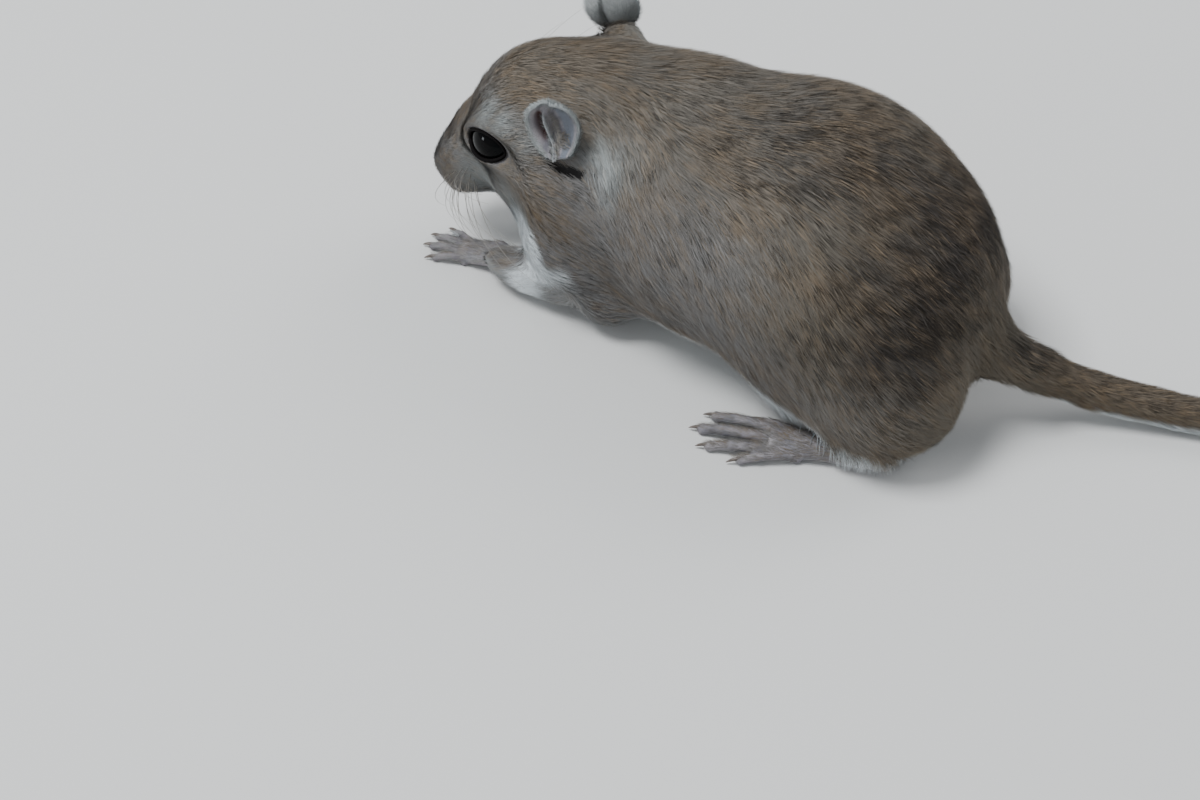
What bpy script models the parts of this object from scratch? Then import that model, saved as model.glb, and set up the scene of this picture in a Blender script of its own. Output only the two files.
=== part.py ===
"""A hunched, feeding gerbil at life size: a still museum model, parted into named pieces.

Frame: +X towards the head, +Y to the animal's left, +Z up, and the floor at Z = 0.
The tables below are in millimetres and degrees. Blender's own lengths are metres.
"""

import math

import bmesh
import bpy
import numpy as np
from mathutils import Matrix, Vector
from mathutils.bvhtree import BVHTree

MM = 0.001
GAP = 0.3  # between pieces that touch

# The head's own frame has its origin in the middle of the cranium, x to the nose and z to the crown.
CRANIUM = (28.0, 1.3, 27.0)
HEAD_PITCH = 30.0  # nose down
HEAD_YAW = 13.0  # nose to the left
HEAD_ROLL = 2.0  # left side up

# The masses of the body: centre, half sizes, and how far the front end tips down.
TRUNK = {
    "rump": ((-25.8, 1.4, 20.2), (20.4, 22.0, 20.3), 0.0),
    "loin": ((-15.0, -0.5, 23.1), (27.0, 23.7, 21.2), 0.0),
    "ribs": ((5.0, 0.0, 23.5), (22.0, 20.5, 19.5), 6.0),
    "shoulders": ((18.0, 0.0, 23.5), (15.0, 18.5, 18.0), 12.0),
    "neck": ((24.0, 0.5, 25.0), (13.0, 15.0, 15.0), 20.0),
    "chest": ((21.5, 0.0, 15.5), (12.5, 15.0, 11.0), 8.0),
    "belly": ((-4.0, 0.6, 13.5), (26.0, 18.4, 12.4), 0.0),
}
# Paired masses, given for the left side. The hips are turned a little to the left.
HIP_TURN = 5.0
HIP_MIDDLE = (-26.0, 2.4)
HIND = {
    "thigh": ((-24.5, 11.6, 15.1), (15.5, 9.3, 14.5), 8.0),
    "haunch": ((-33.2, 11.5, 12.3), (13.5, 12.3, 12.6), 0.0),
    "knee": ((-15.0, 10.8, 11.0), (7.5, 5.5, 7.2), 0.0),
}
FORE = {
    "upper_arm": ((18.0, 12.0, 13.5), (8.5, 6.8, 10.5), 32.0),
    "elbow": ((11.0, 14.0, 6.1), (5.8, 4.0, 4.7), 0.0),
    "forearm": ((21.5, 13.0, 5.3), (13.0, 4.2, 4.3), 5.0),
}
SKULL = {
    "cranium": ((-1.0, 0.0, 0.8), (13.5, 12.0, 11.5), 0.0),
    "nape": ((-9.0, 0.0, -1.0), (9.0, 12.5, 11.5), 0.0),
    "bridge": ((9.5, 0.0, 1.2), (9.0, 6.4, 6.2), 16.0),
    "muzzle": ((12.5, 0.0, -2.4), (10.5, 6.6, 6.8), 4.0),
    "nose": ((20.2, 0.0, -2.9), (4.2, 3.9, 3.7), 0.0),
    "jaw": ((8.5, 0.0, -8.6), (8.5, 5.2, 3.8), 0.0),
}
SKULL_PAIRS = {
    "cheek": ((2.5, 6.2, -4.8), (9.0, 6.6, 7.2), 0.0),
    "whisker_pad": ((17.2, 2.9, -4.9), (4.9, 3.4, 3.5), 0.0),
    "brow": ((6.0, 6.0, 3.6), (6.0, 4.0, 4.2), 0.0),
}
# The tail's middle line from inside the rump to the tip, and its half thickness there.
TAIL_PATH = (
    (-38.0, 1.5, 17.0),
    (-47.5, 0.4, 13.2),
    (-54.0, -2.8, 8.8),
    (-61.5, -6.3, 5.2),
    (-69.0, -8.8, 3.9),
    (-76.0, -11.0, 3.5),
    (-90.0, -14.4, 3.3),
    (-105.0, -15.2, 3.2),
    (-120.0, -12.6, 3.0),
    (-133.0, -8.0, 2.8),
)
TAIL_HALF = (7.0, 5.0, 3.9, 3.5, 3.3, 3.2, 3.1, 2.9, 2.7, 1.6)
CLAY_GRAIN = 0.7  # spacing of the points when the masses are fused
FUSING_ROUNDS = 50
TRUNK_SOFTNESS = 0.9
HEAD_SOFTNESS = 0.16
LIMB_SOFTNESS = 0.35
CLAY_FACES = 3400

HEAD_GRAIN = 0.25
HEAD_FACES = 3500

# Rounded cuts that part the clay: a centre, half sizes, and how far the cut tips down in front.
HEAD_CUT = ((38.0, 3.0, 24.0), (22.0, 22.0, 17.0), 35.0)
NECK_CUT = ((44.0, 3.0, 24.0), (34.0, 30.0, 24.0), 35.0)
TAIL_CUT = ((-58.5, -3.0, 8.0), (12.0, 12.0, 12.0), 0.0)
# Cuts of the limbs, given for the left side.
HIP_CUT = ((-21.0, 19.0, 10.0), (21.5, 12.0, 17.0), 10.0)
SHOULDER_CUT = ((21.0, 16.5, 6.0), (18.0, 10.5, 12.0), 0.0)

EYE_RADIUS = 4.3
EYE = (5.9, 5.4, 2.0)  # the left one, in the head's frame
EYE_LOOK = (0.355, 0.912, 0.211)
EYE_SLANT = 22.5  # front corner higher than the rear one
LIDS = (0.98, 0.62, 0.27)  # half length and upper and lower half heights of the opening, in radii
LID_SHELL = 0.85  # how far the lids' outer face stands off the eyeball
LID_TUBE = 0.55

EAR_ROOT = (-9.8, 14.5, 3.0)  # the left one, in the head's frame
EAR_TIP = (-11.0, 14.4, 12.3)
EAR_FACING = (0.08, 0.94, 0.01)
EAR_WIDTH = 8.9
EAR_SHEET = 0.85
EAR_CUP = (2.2, 0.9)  # how far the rim stands off the hollow at the root and near the tip
EAR_RIDGE = 1.3

# Mouth and nostrils, in the head's frame, left side.
MOUTH = ((22.4, 0.0, -6.0), (21.8, 1.5, -6.3), (20.4, 3.2, -6.8), (18.6, 4.4, -7.1), (16.6, 4.9, -7.2), (14.6, 5.2, -6.9))
MOUTH_HALF = 0.55
LIP_APART = 1.0
LIP_HALF = 0.8
NOSTRIL = (24.4, 1.7, -2.6)

# A foot's own frame has its origin under the heel, x to the toes and y to the animal's left.
HIND_FOOT = (-37.5, 18.3, 16.0)  # x, y and how far the toes turn out
HIND_SOLE = ((0.0, 0.0, 2.3), (8.0, 0.1, 2.0), (16.5, 0.2, 1.5))
HIND_SOLE_HALF = ((2.4, 2.5), (2.3, 1.9), (3.0, 1.5))
HIND_TOES = (  # start, end and half thickness of each toe, from the inner one out
    ((11.5, -1.8, 1.5), (18.0, -3.6, 1.0), 0.75),
    ((16.0, -2.0, 1.5), (25.0, -3.0, 1.0), 0.90),
    ((16.5, 0.0, 1.5), (26.6, -0.2, 1.0), 0.95),
    ((16.0, 2.0, 1.5), (25.0, 2.8, 1.0), 0.90),
    ((12.5, 2.2, 1.5), (20.0, 4.4, 1.0), 0.80),
)
HIND_CLAW = 2.2
FORE_PAW = (35.0, 11.0, 2.0)
FORE_SOLE = ((-2.5, 0.0, 3.2), (1.0, 0.0, 2.0), (4.0, 0.0, 1.4))
FORE_SOLE_HALF = ((2.2, 2.2), (2.4, 1.8), (2.6, 1.4))
FORE_TOES = (
    ((3.2, -1.8, 1.3), (7.2, -3.2, 0.85), 0.65),
    ((4.0, -0.7, 1.4), (9.0, -1.1, 0.85), 0.72),
    ((4.0, 0.7, 1.4), (9.0, 1.1, 0.85), 0.72),
    ((3.2, 1.8, 1.3), (7.4, 3.2, 0.85), 0.65),
)
FORE_CLAW = 1.9

# The tail is parted at these shares of its path.
TAIL_PARTS = (0.42, 0.74)
TAIL_SIDES = 12
# The brush of long hairs at the tail's end, as flat locks.
BRUSH_LOCKS = 38
BRUSH_FROM = 0.765
LOCK_LENGTH = (7.5, 10.5)
LOCK_HALF = (0.95, 0.42)

MATERIALS = {
    "fur": ((0.30, 0.20, 0.12), 0.85),
    "pale_fur": ((0.62, 0.57, 0.50), 0.85),
    "skin": ((0.42, 0.30, 0.28), 0.60),
    "eye_gloss": ((0.008, 0.007, 0.008), 0.05),
}
SLOTS = {
    "head": "fur",
    "neck": "fur",
    "torso": "fur",
    "tail": "fur",
    "foreleg": "fur",
    "hindleg": "fur",
    "forepaw": "skin",
    "hindfoot": "skin",
    "ear": "skin",
    "eye": "eye_gloss",
}


def clear_scene():
    for thing in list(bpy.data.objects):
        bpy.data.objects.remove(thing)


def link(name, mesh):
    thing = bpy.data.objects.new(name, mesh)
    bpy.context.scene.collection.objects.link(thing)
    return thing


def head_matrix():
    """From the head's frame to the animal's, in millimetres."""
    pitch = Matrix.Rotation(math.radians(HEAD_PITCH), 4, "Y")
    yaw = Matrix.Rotation(math.radians(HEAD_YAW), 4, "Z")
    roll = Matrix.Rotation(math.radians(HEAD_ROLL), 4, "X")
    return Matrix.Translation(CRANIUM) @ yaw @ pitch @ roll


def hip_matrix():
    """From the hips' frame to the animal's, in millimetres."""
    x, y = HIP_MIDDLE
    turn = Matrix.Rotation(math.radians(HIP_TURN), 4, "Z")
    return Matrix.Translation((x, y, 0.0)) @ turn @ Matrix.Translation((-x, 0.0, 0.0))


def mirrored(point, side):
    x, y, z = point
    return (x, side * y, z)


def ball(name, centre, radii, pitch=0.0, frame=None, detail=4):
    """An ellipsoid with the given half sizes, tipped nose down by pitch."""
    shape = bmesh.new()
    bmesh.ops.create_icosphere(shape, subdivisions=detail, radius=1.0)
    place = (
        (frame or Matrix())
        @ Matrix.Translation(centre)
        @ Matrix.Rotation(math.radians(pitch), 4, "Y")
        @ Matrix.Diagonal((*radii, 1.0))
    )
    shape.transform(Matrix.Scale(MM, 4) @ place)
    mesh = bpy.data.meshes.new(name)
    shape.to_mesh(mesh)
    shape.free()
    return link(name, mesh)


def applied(thing):
    """The object with its modifiers worked into its mesh."""
    graph = bpy.context.evaluated_depsgraph_get()
    mesh = bpy.data.meshes.new_from_object(thing.evaluated_get(graph))
    thing.modifiers.clear()
    thing.data = mesh
    return thing


def joined(name, things):
    shape = bmesh.new()
    for thing in things:
        part = thing.data.copy()
        part.transform(thing.matrix_world)
        shape.from_mesh(part)
        bpy.data.objects.remove(thing)
    mesh = bpy.data.meshes.new(name)
    shape.to_mesh(mesh)
    shape.free()
    return link(name, mesh)


def points_of(mesh):
    flat = np.empty(len(mesh.vertices) * 3, np.float32)
    mesh.vertices.foreach_get("co", flat)
    return flat.reshape(-1, 3).astype(float)


def relax(mesh, rounds, softness):
    """Rounds off the creases: each point moves the given share of the way to its neighbours' middle."""
    points = points_of(mesh)
    ends = np.empty(len(mesh.edges) * 2, np.int32)
    mesh.edges.foreach_get("vertices", ends)
    first, second = ends.reshape(-1, 2).T
    count = np.bincount(ends, minlength=len(points))[:, None]
    for _ in range(rounds):
        total = np.zeros_like(points)
        np.add.at(total, first, points[second])
        np.add.at(total, second, points[first])
        points += softness[:, None] * (total / count - points)
    mesh.vertices.foreach_set("co", points.astype(np.float32).ravel())
    mesh.update()


def smooth_step(value, low, high):
    share = np.clip((value - low) / (high - low), 0.0, 1.0)
    return share * share * (3.0 - 2.0 * share)


def clay_softness(points):
    """Soft over the trunk, firmer on the limbs and firmest on the head."""
    in_head = np.array(head_matrix().inverted()) @ np.vstack(
        [points.T / MM, np.ones(len(points))]
    )
    head = smooth_step(in_head[0], -8.0, 2.0)
    limb = 1.0 - smooth_step(points[:, 2] / MM, 7.0, 14.0)
    limb *= 0.35 + 0.65 * smooth_step(points[:, 0] / MM, -2.0, 8.0)
    tail = 1.0 - smooth_step(points[:, 0] / MM, -53.0, -47.0)
    soft = TRUNK_SOFTNESS + (LIMB_SOFTNESS - TRUNK_SOFTNESS) * np.maximum(limb, tail)
    return soft + (HEAD_SOFTNESS - soft) * head


def tail_at(share):
    """The tail's middle line, as a smooth curve through its points: a place and a half thickness."""
    line = np.column_stack([TAIL_PATH, TAIL_HALF])
    place = min(max(share, 0.0), 1.0) * (len(line) - 1)
    n = min(int(place), len(line) - 2)
    t = place - n
    before, start, end, after = (line[min(max(k, 0), len(line) - 1)] for k in range(n - 1, n + 3))
    bend = np.array([-t + 2 * t**2 - t**3, 2 - 5 * t**2 + 3 * t**3, t + 4 * t**2 - 3 * t**3, t**3 - t**2])
    point = 0.5 * (bend @ np.array([before, start, end, after]))
    return point[:3], point[3]


def clay():
    """The whole body in one closed surface, without its feet, ears, eyes and tail."""
    head = head_matrix()
    masses = [ball(name, *row) for name, row in TRUNK.items()]
    masses += [ball(name, *row, head) for name, row in SKULL.items()]
    for table, frame in ((HIND, hip_matrix()), (FORE, None), (SKULL_PAIRS, head)):
        for name, (centre, radii, pitch) in table.items():
            for side in (1, -1):
                masses.append(ball(name, mirrored(centre, side), radii, pitch, frame))
    for k in range(24):
        middle, half = tail_at(0.45 * k / 23.0)
        masses.append(ball("tail", middle, (half, half, half), detail=3))
    whole = joined("clay", masses)
    grain = whole.modifiers.new("fuse", "REMESH")
    grain.mode = "VOXEL"
    grain.voxel_size = CLAY_GRAIN * MM
    applied(whole)
    relax(whole.data, FUSING_ROUNDS, clay_softness(points_of(whole.data)))
    return whole


def triangulated(thing):
    shape = bmesh.new()
    shape.from_mesh(thing.data)
    bmesh.ops.triangulate(shape, faces=shape.faces)
    shape.to_mesh(thing.data)
    shape.free()
    return thing


def thinned(thing, faces):
    """Fewer faces, more of them kept where the form bends."""
    triangulated(thing)
    fewer = thing.modifiers.new("fewer", "DECIMATE")
    fewer.ratio = min(1.0, faces / len(thing.data.polygons))
    return applied(thing)


def fused(thing, grain):
    fuse = thing.modifiers.new("fuse", "REMESH")
    fuse.mode = "VOXEL"
    fuse.voxel_size = grain * MM
    return applied(thing)


def copied(thing, name):
    return link(name, thing.data.copy())


def cut(thing, tool, how="DIFFERENCE", keep=False):
    """Works the tool into the thing, and takes the tool away unless it is kept."""
    step = thing.modifiers.new("cut", "BOOLEAN")
    step.operation = how
    step.solver = "EXACT"
    step.object = tool
    applied(thing)
    if not keep:
        bpy.data.objects.remove(tool)
    return biggest(thing)


def biggest(thing):
    """Leaves only the largest closed surface."""
    shape = bmesh.new()
    shape.from_mesh(thing.data)
    shape.faces.ensure_lookup_table()
    left = set(shape.faces)
    groups = []
    while left:
        stack = [left.pop()]
        group = list(stack)
        while stack:
            for edge in stack.pop().edges:
                for face in edge.link_faces:
                    if face in left:
                        left.remove(face)
                        stack.append(face)
                        group.append(face)
        groups.append(group)
    groups.sort(key=len)
    for group in groups[:-1]:
        bmesh.ops.delete(shape, geom=group, context="FACES")
    shape.to_mesh(thing.data)
    shape.free()
    return thing


def united(thing, pieces):
    """One solid from the thing and all the pieces that stand in it."""
    group = bpy.data.collections.new("pieces")
    bpy.context.scene.collection.children.link(group)
    for piece in pieces:
        group.objects.link(piece)
    step = thing.modifiers.new("unite", "BOOLEAN")
    step.operation = "UNION"
    step.solver = "EXACT"
    step.operand_type = "COLLECTION"
    step.collection = group
    applied(thing)
    for piece in pieces:
        bpy.data.objects.remove(piece)
    bpy.data.collections.remove(group)
    return biggest(thing)


def tube(name, points, halves, sides=8, flat=None):
    """A closed tapering tube. Each half is a half width and a half thickness, or one number."""
    points = np.array(points, float)
    ahead = np.gradient(points, axis=0)
    ahead /= np.linalg.norm(ahead, axis=1)[:, None]
    shape = bmesh.new()
    rings = []
    for place, way, half in zip(points, ahead, halves):
        wide, thick = half if isinstance(half, tuple) else (half, half)
        across = np.cross(flat if flat is not None else (0.0, 0.0, 1.0), way)
        across /= np.linalg.norm(across)
        upward = np.cross(way, across)
        turns = 2.0 * math.pi * np.arange(sides) / sides
        ring = place + wide * np.outer(np.cos(turns), across) + thick * np.outer(np.sin(turns), upward)
        rings.append([shape.verts.new(spot * MM) for spot in ring])
    for one, two in zip(rings, rings[1:]):
        for k in range(sides):
            n = (k + 1) % sides
            shape.faces.new((one[k], one[n], two[n], two[k]))
    shape.faces.new(list(reversed(rings[0])))
    shape.faces.new(rings[-1])
    bmesh.ops.recalc_face_normals(shape, faces=shape.faces)
    mesh = bpy.data.meshes.new(name)
    shape.to_mesh(mesh)
    shape.free()
    return link(name, mesh)


def bent(start, end, lift, count=5):
    """A line of points that rises by the given lift in its middle."""
    start, end = np.array(start, float), np.array(end, float)
    line = []
    for share in np.linspace(0.0, 1.0, count):
        spot = start + (end - start) * share
        spot[2] += lift * 4.0 * share * (1.0 - share)
        line.append(spot)
    return line


def foot(name, place, sole, sole_half, toes, claw, side, grain, faces):
    """Sole, toes and claws in one solid, with the room it needs in the leg."""
    pieces = [tube("sole", sole, sole_half, 12), ball("heel", sole[0], (sole_half[0][0] * 1.15,) * 3, detail=2)]
    for start, end, half in toes:
        line = bent(start, end, 0.5)
        pieces.append(tube("toe", line, np.linspace(half * 1.1, half * 0.85, len(line)), 8))
        pieces.append(ball("knuckle", line[3], (half * 1.15, half * 1.1, half * 1.05), detail=2))
        pieces.append(ball("toe_tip", end, (half, half * 0.9, half * 0.9), detail=2))
        way = np.array(end) - np.array(start)
        way[2] = 0.0
        way /= np.linalg.norm(way)
        hook = [np.array(end) + way * claw * k + np.array((0.0, 0.0, z)) for k, z in ((0.0, 0.25), (0.4, 0.4), (0.8, 0.05), (1.0, -0.35))]
        pieces.append(tube("claw", hook, (0.50, 0.42, 0.30, 0.16), 6))
    whole = joined(name, pieces)
    turn = Matrix.Rotation(math.radians(place[2]), 4, "Z")
    spot = Matrix.Translation((place[0] * MM, place[1] * MM, -0.15 * MM))
    whole.data.transform(spot @ turn)
    fused(whole, grain)
    if side < 0:
        whole.data.transform(Matrix.Diagonal((1.0, -1.0, 1.0, 1.0)))
        whole.data.flip_normals()
    room = copied(whole, "room")
    swell = room.modifiers.new("swell", "DISPLACE")
    swell.strength = (GAP + 0.1) * MM
    swell.mid_level = 0.0
    applied(room)
    fused(room, 0.4)
    thinned(room, 340)
    return thinned(whole, faces), room


def ear_point(across, along):
    """A point of the ear's inner face, in the head's frame, in millimetres."""
    root, tip = Vector(EAR_ROOT), Vector(EAR_TIP)
    up = (tip - root).normalized()
    facing = Vector(EAR_FACING)
    facing = (facing - up * facing.dot(up)).normalized()
    back = up.cross(facing)
    if back.x > 0:
        back = -back
    height = (tip - root).length
    if along > 0.5:
        width = math.sqrt(max(0.0, 1.0 - ((along - 0.5) / 0.5) ** 2))
    else:
        width = 0.42 + 0.58 * math.sin(math.pi * along)
    rim = max(abs(across) ** 2.4, max(0.0, 1.0 - along / 0.35) ** 2)
    lift = (EAR_CUP[0] + (EAR_CUP[1] - EAR_CUP[0]) * along) * rim
    ridge = EAR_RIDGE * math.exp(-((across + 0.22) / 0.20) ** 2) * (1.0 - float(smooth_step(along, 0.6, 0.95)))
    lean = -0.9 * math.sin(math.pi * along)
    spot = root + up * (height * along)
    spot += back * (EAR_WIDTH / 2.0 * width * across + 0.5 * along)
    return spot + facing * (lift + max(0.0, ridge - 0.6 * rim) + lean)


def ear(side):
    """A cupped sheet with a lengthwise ridge, on a rounded root."""
    wide, tall = 16, 16
    inner = []
    for v in range(tall + 1):
        along = 0.985 * v / tall
        inner.append([ear_point(-1.0 + 2.0 * u / wide, along) for u in range(wide + 1)])
    grid = np.array(inner)
    du = np.gradient(grid, axis=1)
    dv = np.gradient(grid, axis=0)
    normal = np.cross(du, dv)
    normal /= np.linalg.norm(normal, axis=2)[:, :, None] + 1e-9
    if np.mean(normal @ np.array(EAR_FACING)) < 0:
        normal = -normal
    outer = grid - normal * EAR_SHEET
    shape = bmesh.new()
    fronts = [[shape.verts.new(spot) for spot in row] for row in grid]
    backs = [[shape.verts.new(spot) for spot in row] for row in outer]
    for v in range(tall):
        for u in range(wide):
            shape.faces.new((fronts[v][u], fronts[v][u + 1], fronts[v + 1][u + 1], fronts[v + 1][u]))
            shape.faces.new((backs[v][u], backs[v + 1][u], backs[v + 1][u + 1], backs[v][u + 1]))
    rim = [(0, u) for u in range(wide)] + [(v, wide) for v in range(tall)]
    rim += [(tall, u) for u in range(wide, 0, -1)] + [(v, 0) for v in range(tall, 0, -1)]
    for (v, u), (w, t) in zip(rim, rim[1:] + rim[:1]):
        shape.faces.new((fronts[v][u], backs[v][u], backs[w][t], fronts[w][t]))
    bmesh.ops.recalc_face_normals(shape, faces=shape.faces)
    mesh = bpy.data.meshes.new("ear")
    shape.to_mesh(mesh)
    shape.free()
    mesh.transform(Matrix.Scale(MM, 4))
    root = Vector(EAR_ROOT)
    plug = ball("plug", root + Vector((-0.2, -1.6, -0.6)), (4.3, 3.6, 4.0), detail=3)
    whole = joined("ear", [link("sheet", mesh), plug])
    fused(whole, 0.3)
    relax(whole.data, 2, np.full(len(whole.data.vertices), 0.5))
    whole.data.transform(Matrix.Diagonal((1.0, side, 1.0, 1.0)))
    if side < 0:
        whole.data.flip_normals()
    place = head_matrix()
    place.translation *= MM
    whole.data.transform(place)
    room = copied(whole, "room")
    swell = room.modifiers.new("swell", "DISPLACE")
    swell.strength = (GAP + 0.1) * MM
    swell.mid_level = 0.0
    applied(room)
    fused(room, 0.4)
    thinned(room, 360)
    return thinned(whole, 540), room


def eye_axes(side):
    """The eye's own directions in the head's frame: along the lids, across them, and outwards."""
    out = Vector(mirrored(EYE_LOOK, side)).normalized()
    along = Vector((1.0, 0.0, math.tan(math.radians(EYE_SLANT))))
    along = (along - out * along.dot(out)).normalized()
    across = out.cross(along)
    if across.z < 0:
        across = -across
    return along, across, out


def lid_line(side, radius, count=28):
    along, across, out = eye_axes(side)
    centre = Vector(mirrored(EYE, side))
    line = []
    for k in range(count):
        turn = 2.0 * math.pi * k / count
        height = LIDS[1] if math.sin(turn) > 0 else LIDS[2]
        way = along * (LIDS[0] * math.cos(turn)) + across * (height * math.sin(turn)) + out * 0.62
        line.append(centre + way.normalized() * radius)
    return line


def ring_tube(name, line, half, sides=7):
    """A closed ring with a round section."""
    count = len(line)
    centre = sum(line, Vector()) / count
    shape = bmesh.new()
    rings = []
    for k, spot in enumerate(line):
        way = (line[(k + 1) % count] - line[k - 1]).normalized()
        side = (spot - centre).cross(way).normalized()
        upward = way.cross(side)
        ring = []
        for n in range(sides):
            turn = 2.0 * math.pi * n / sides
            ring.append(shape.verts.new(spot + (side * math.cos(turn) + upward * math.sin(turn)) * half))
        rings.append(ring)
    for k in range(count):
        one, two = rings[k], rings[(k + 1) % count]
        for n in range(sides):
            shape.faces.new((one[n], one[(n + 1) % sides], two[(n + 1) % sides], two[n]))
    bmesh.ops.recalc_face_normals(shape, faces=shape.faces)
    mesh = bpy.data.meshes.new(name)
    shape.to_mesh(mesh)
    shape.free()
    return link(name, mesh)


def in_head(thing):
    thing.data.transform(Matrix.Scale(MM, 4) @ head_matrix())
    return thing


def round_eye(name, centre, radius, segments=18, rings=12):
    shape = bmesh.new()
    bmesh.ops.create_uvsphere(shape, u_segments=segments, v_segments=rings, radius=radius)
    shape.transform(Matrix.Translation(centre) @ Matrix.Rotation(math.radians(90.0), 4, "X"))
    bmesh.ops.triangulate(shape, faces=shape.faces)
    mesh = bpy.data.meshes.new(name)
    shape.to_mesh(mesh)
    shape.free()
    return in_head(link(name, mesh))


def opening(side):
    """A cone through the lids' opening, from inside the eyeball outwards."""
    centre = Vector(mirrored(EYE, side))
    near = lid_line(side, 1.5)
    far = lid_line(side, 12.0)
    shape = bmesh.new()
    inner = [shape.verts.new(spot) for spot in near]
    outer = [shape.verts.new(spot) for spot in far]
    count = len(near)
    for k in range(count):
        n = (k + 1) % count
        shape.faces.new((inner[k], inner[n], outer[n], outer[k]))
    shape.faces.new(inner)
    shape.faces.new(outer)
    bmesh.ops.recalc_face_normals(shape, faces=shape.faces)
    mesh = bpy.data.meshes.new("opening")
    shape.to_mesh(mesh)
    shape.free()
    return in_head(link("opening", mesh))


def on_head(head, spots, sink=0.0):
    """The nearest places on the head's surface, sunk by the given depth, in the head's frame."""
    inverse = head_matrix().inverted()
    tree = BVHTree.FromPolygons([v.co / MM for v in head.data.vertices], [tuple(p.vertices) for p in head.data.polygons])
    found = []
    for spot in spots:
        place, normal, _, _ = tree.find_nearest(head_matrix() @ Vector(spot))
        found.append(np.array(inverse @ (place - normal * sink)))
    return found


def face_forms(head):
    """Lids and sockets, nostrils, the mouth line and its lips."""
    for side in (1, -1):
        cut(head, round_eye("shell", mirrored(EYE, side), EYE_RADIUS + LID_SHELL, 32, 20), "UNION")
        cut(head, opening(side))
        lids = in_head(ring_tube("lids", lid_line(side, EYE_RADIUS + 0.55), LID_TUBE))
        cut(head, lids, "UNION")
        cut(head, round_eye("socket", mirrored(EYE, side), EYE_RADIUS + GAP))
    mouth = [mirrored(spot, -1) for spot in reversed(MOUTH[1:])] + list(MOUTH)
    line = np.array(on_head(head, mouth))
    raised = np.array(on_head(head, mouth, -1.0)) - line
    beside = np.cross(raised, np.gradient(line, axis=0))
    beside /= np.linalg.norm(beside, axis=1)[:, None]
    swell = [0.45 + 0.55 * math.sin(math.pi * (k + 1) / (len(line) + 1)) for k in range(len(line))]
    for way in (1, -1):
        lip = on_head(head, line + way * LIP_APART * beside, LIP_HALF * 0.5)
        cut(head, in_head(scaled(tube("lip", lip, [LIP_HALF * share for share in swell], 8))), "UNION")
    cut(head, in_head(scaled(tube("mouth", line, [MOUTH_HALF * share for share in swell], 8))))
    seam = [(24.8, 0.0, -3.4), (24.0, 0.0, -4.8), MOUTH[0]]
    cut(head, in_head(scaled(tube("philtrum", on_head(head, seam), (0.24, 0.34, 0.36), 8, flat=(0.0, 1.0, 0.0)))))
    for side in (1, -1):
        spot = on_head(head, [mirrored(NOSTRIL, side)])[0]
        turn = Matrix.Rotation(math.radians(side * 50.0), 4, "Z") @ Matrix.Rotation(math.radians(-20.0), 4, "Y")
        hole = ball("nostril", (0.0, 0.0, 0.0), (1.1, 0.42, 0.6), detail=2)
        hole.data.transform(Matrix.Scale(MM, 4) @ head_matrix() @ Matrix.Translation(Vector(spot)) @ turn @ Matrix.Scale(1 / MM, 4))
        cut(head, hole)
    fused(head, HEAD_GRAIN)
    return thinned(head, HEAD_FACES)


def scaled(thing):
    """Back to millimetres, for a piece that is about to be placed in the head."""
    thing.data.transform(Matrix.Scale(1.0 / MM, 4))
    return thing


def floor_block():
    shape = bmesh.new()
    bmesh.ops.create_cube(shape, size=1.0)
    shape.transform(Matrix.Translation((0.0, 0.0, -0.05)) @ Matrix.Diagonal((0.5, 0.3, 0.1, 1.0)))
    mesh = bpy.data.meshes.new("floor")
    shape.to_mesh(mesh)
    shape.free()
    return link("floor", mesh)


def grown(row, by):
    centre, radii, pitch = row
    return centre, tuple(r + by for r in radii), pitch


def parted(whole, name, row, detail=3, frame=None):
    """Takes the piece inside a rounded cut out of the whole, and leaves the gap between them."""
    piece = copied(whole, name)
    cut(piece, ball("inside", *row, frame, detail), "INTERSECT")
    cut(whole, ball("outside", *grown(row, GAP), frame, detail))
    return piece


def tail_piece(name, start, end, steps, thick=1.0):
    line, halves = [], []
    for share in np.linspace(start, end, steps):
        middle, half = tail_at(share)
        middle[2] = min(middle[2], half - 0.15) if share > 0.5 else middle[2]
        line.append(middle)
        halves.append(half * thick)
    return tube(name, line, halves, TAIL_SIDES)


def brush():
    """Flat tapering locks around the tail's end that lean back, bend and overlap."""
    chance = np.random.default_rng(11)
    locks = []
    for k in range(BRUSH_LOCKS):
        share = BRUSH_FROM + (0.985 - BRUSH_FROM) * (k + 0.5) / BRUSH_LOCKS
        middle, half = tail_at(share)
        before, _ = tail_at(share - 0.01)
        way = Vector(middle - before).normalized()
        side = Vector((0.0, 0.0, 1.0)).cross(way).normalized()
        rise = way.cross(side)
        turn = math.radians(137.5 * k)
        out = side * math.sin(turn) + rise * math.cos(turn)
        if out.z < -0.35:
            out = (out + Vector((0.0, 0.0, 0.9 * -out.z))).normalized()
        length = chance.uniform(*LOCK_LENGTH) * (1.0 - 0.25 * (share - BRUSH_FROM) / (1.0 - BRUSH_FROM))
        spread = chance.uniform(0.22, 0.34) * length
        sway = chance.uniform(-0.9, 0.9)
        line = []
        for t in (0.0, 0.3, 0.6, 0.85, 1.0):
            spot = Vector(middle) + out * (0.55 * half + spread * (t - 0.55 * t * t) * 1.1)
            spot += way * (length * t) + way.cross(out) * (sway * t * t)
            spot.z = max(spot.z, 0.5)
            line.append(np.array(spot))
        wide, thick = LOCK_HALF
        halves = [(wide * w, thick * w) for w in (0.75, 1.0, 0.85, 0.5, 0.12)]
        locks.append(tube("lock", line, halves, 4, flat=tuple(out)))
    return locks


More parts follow.
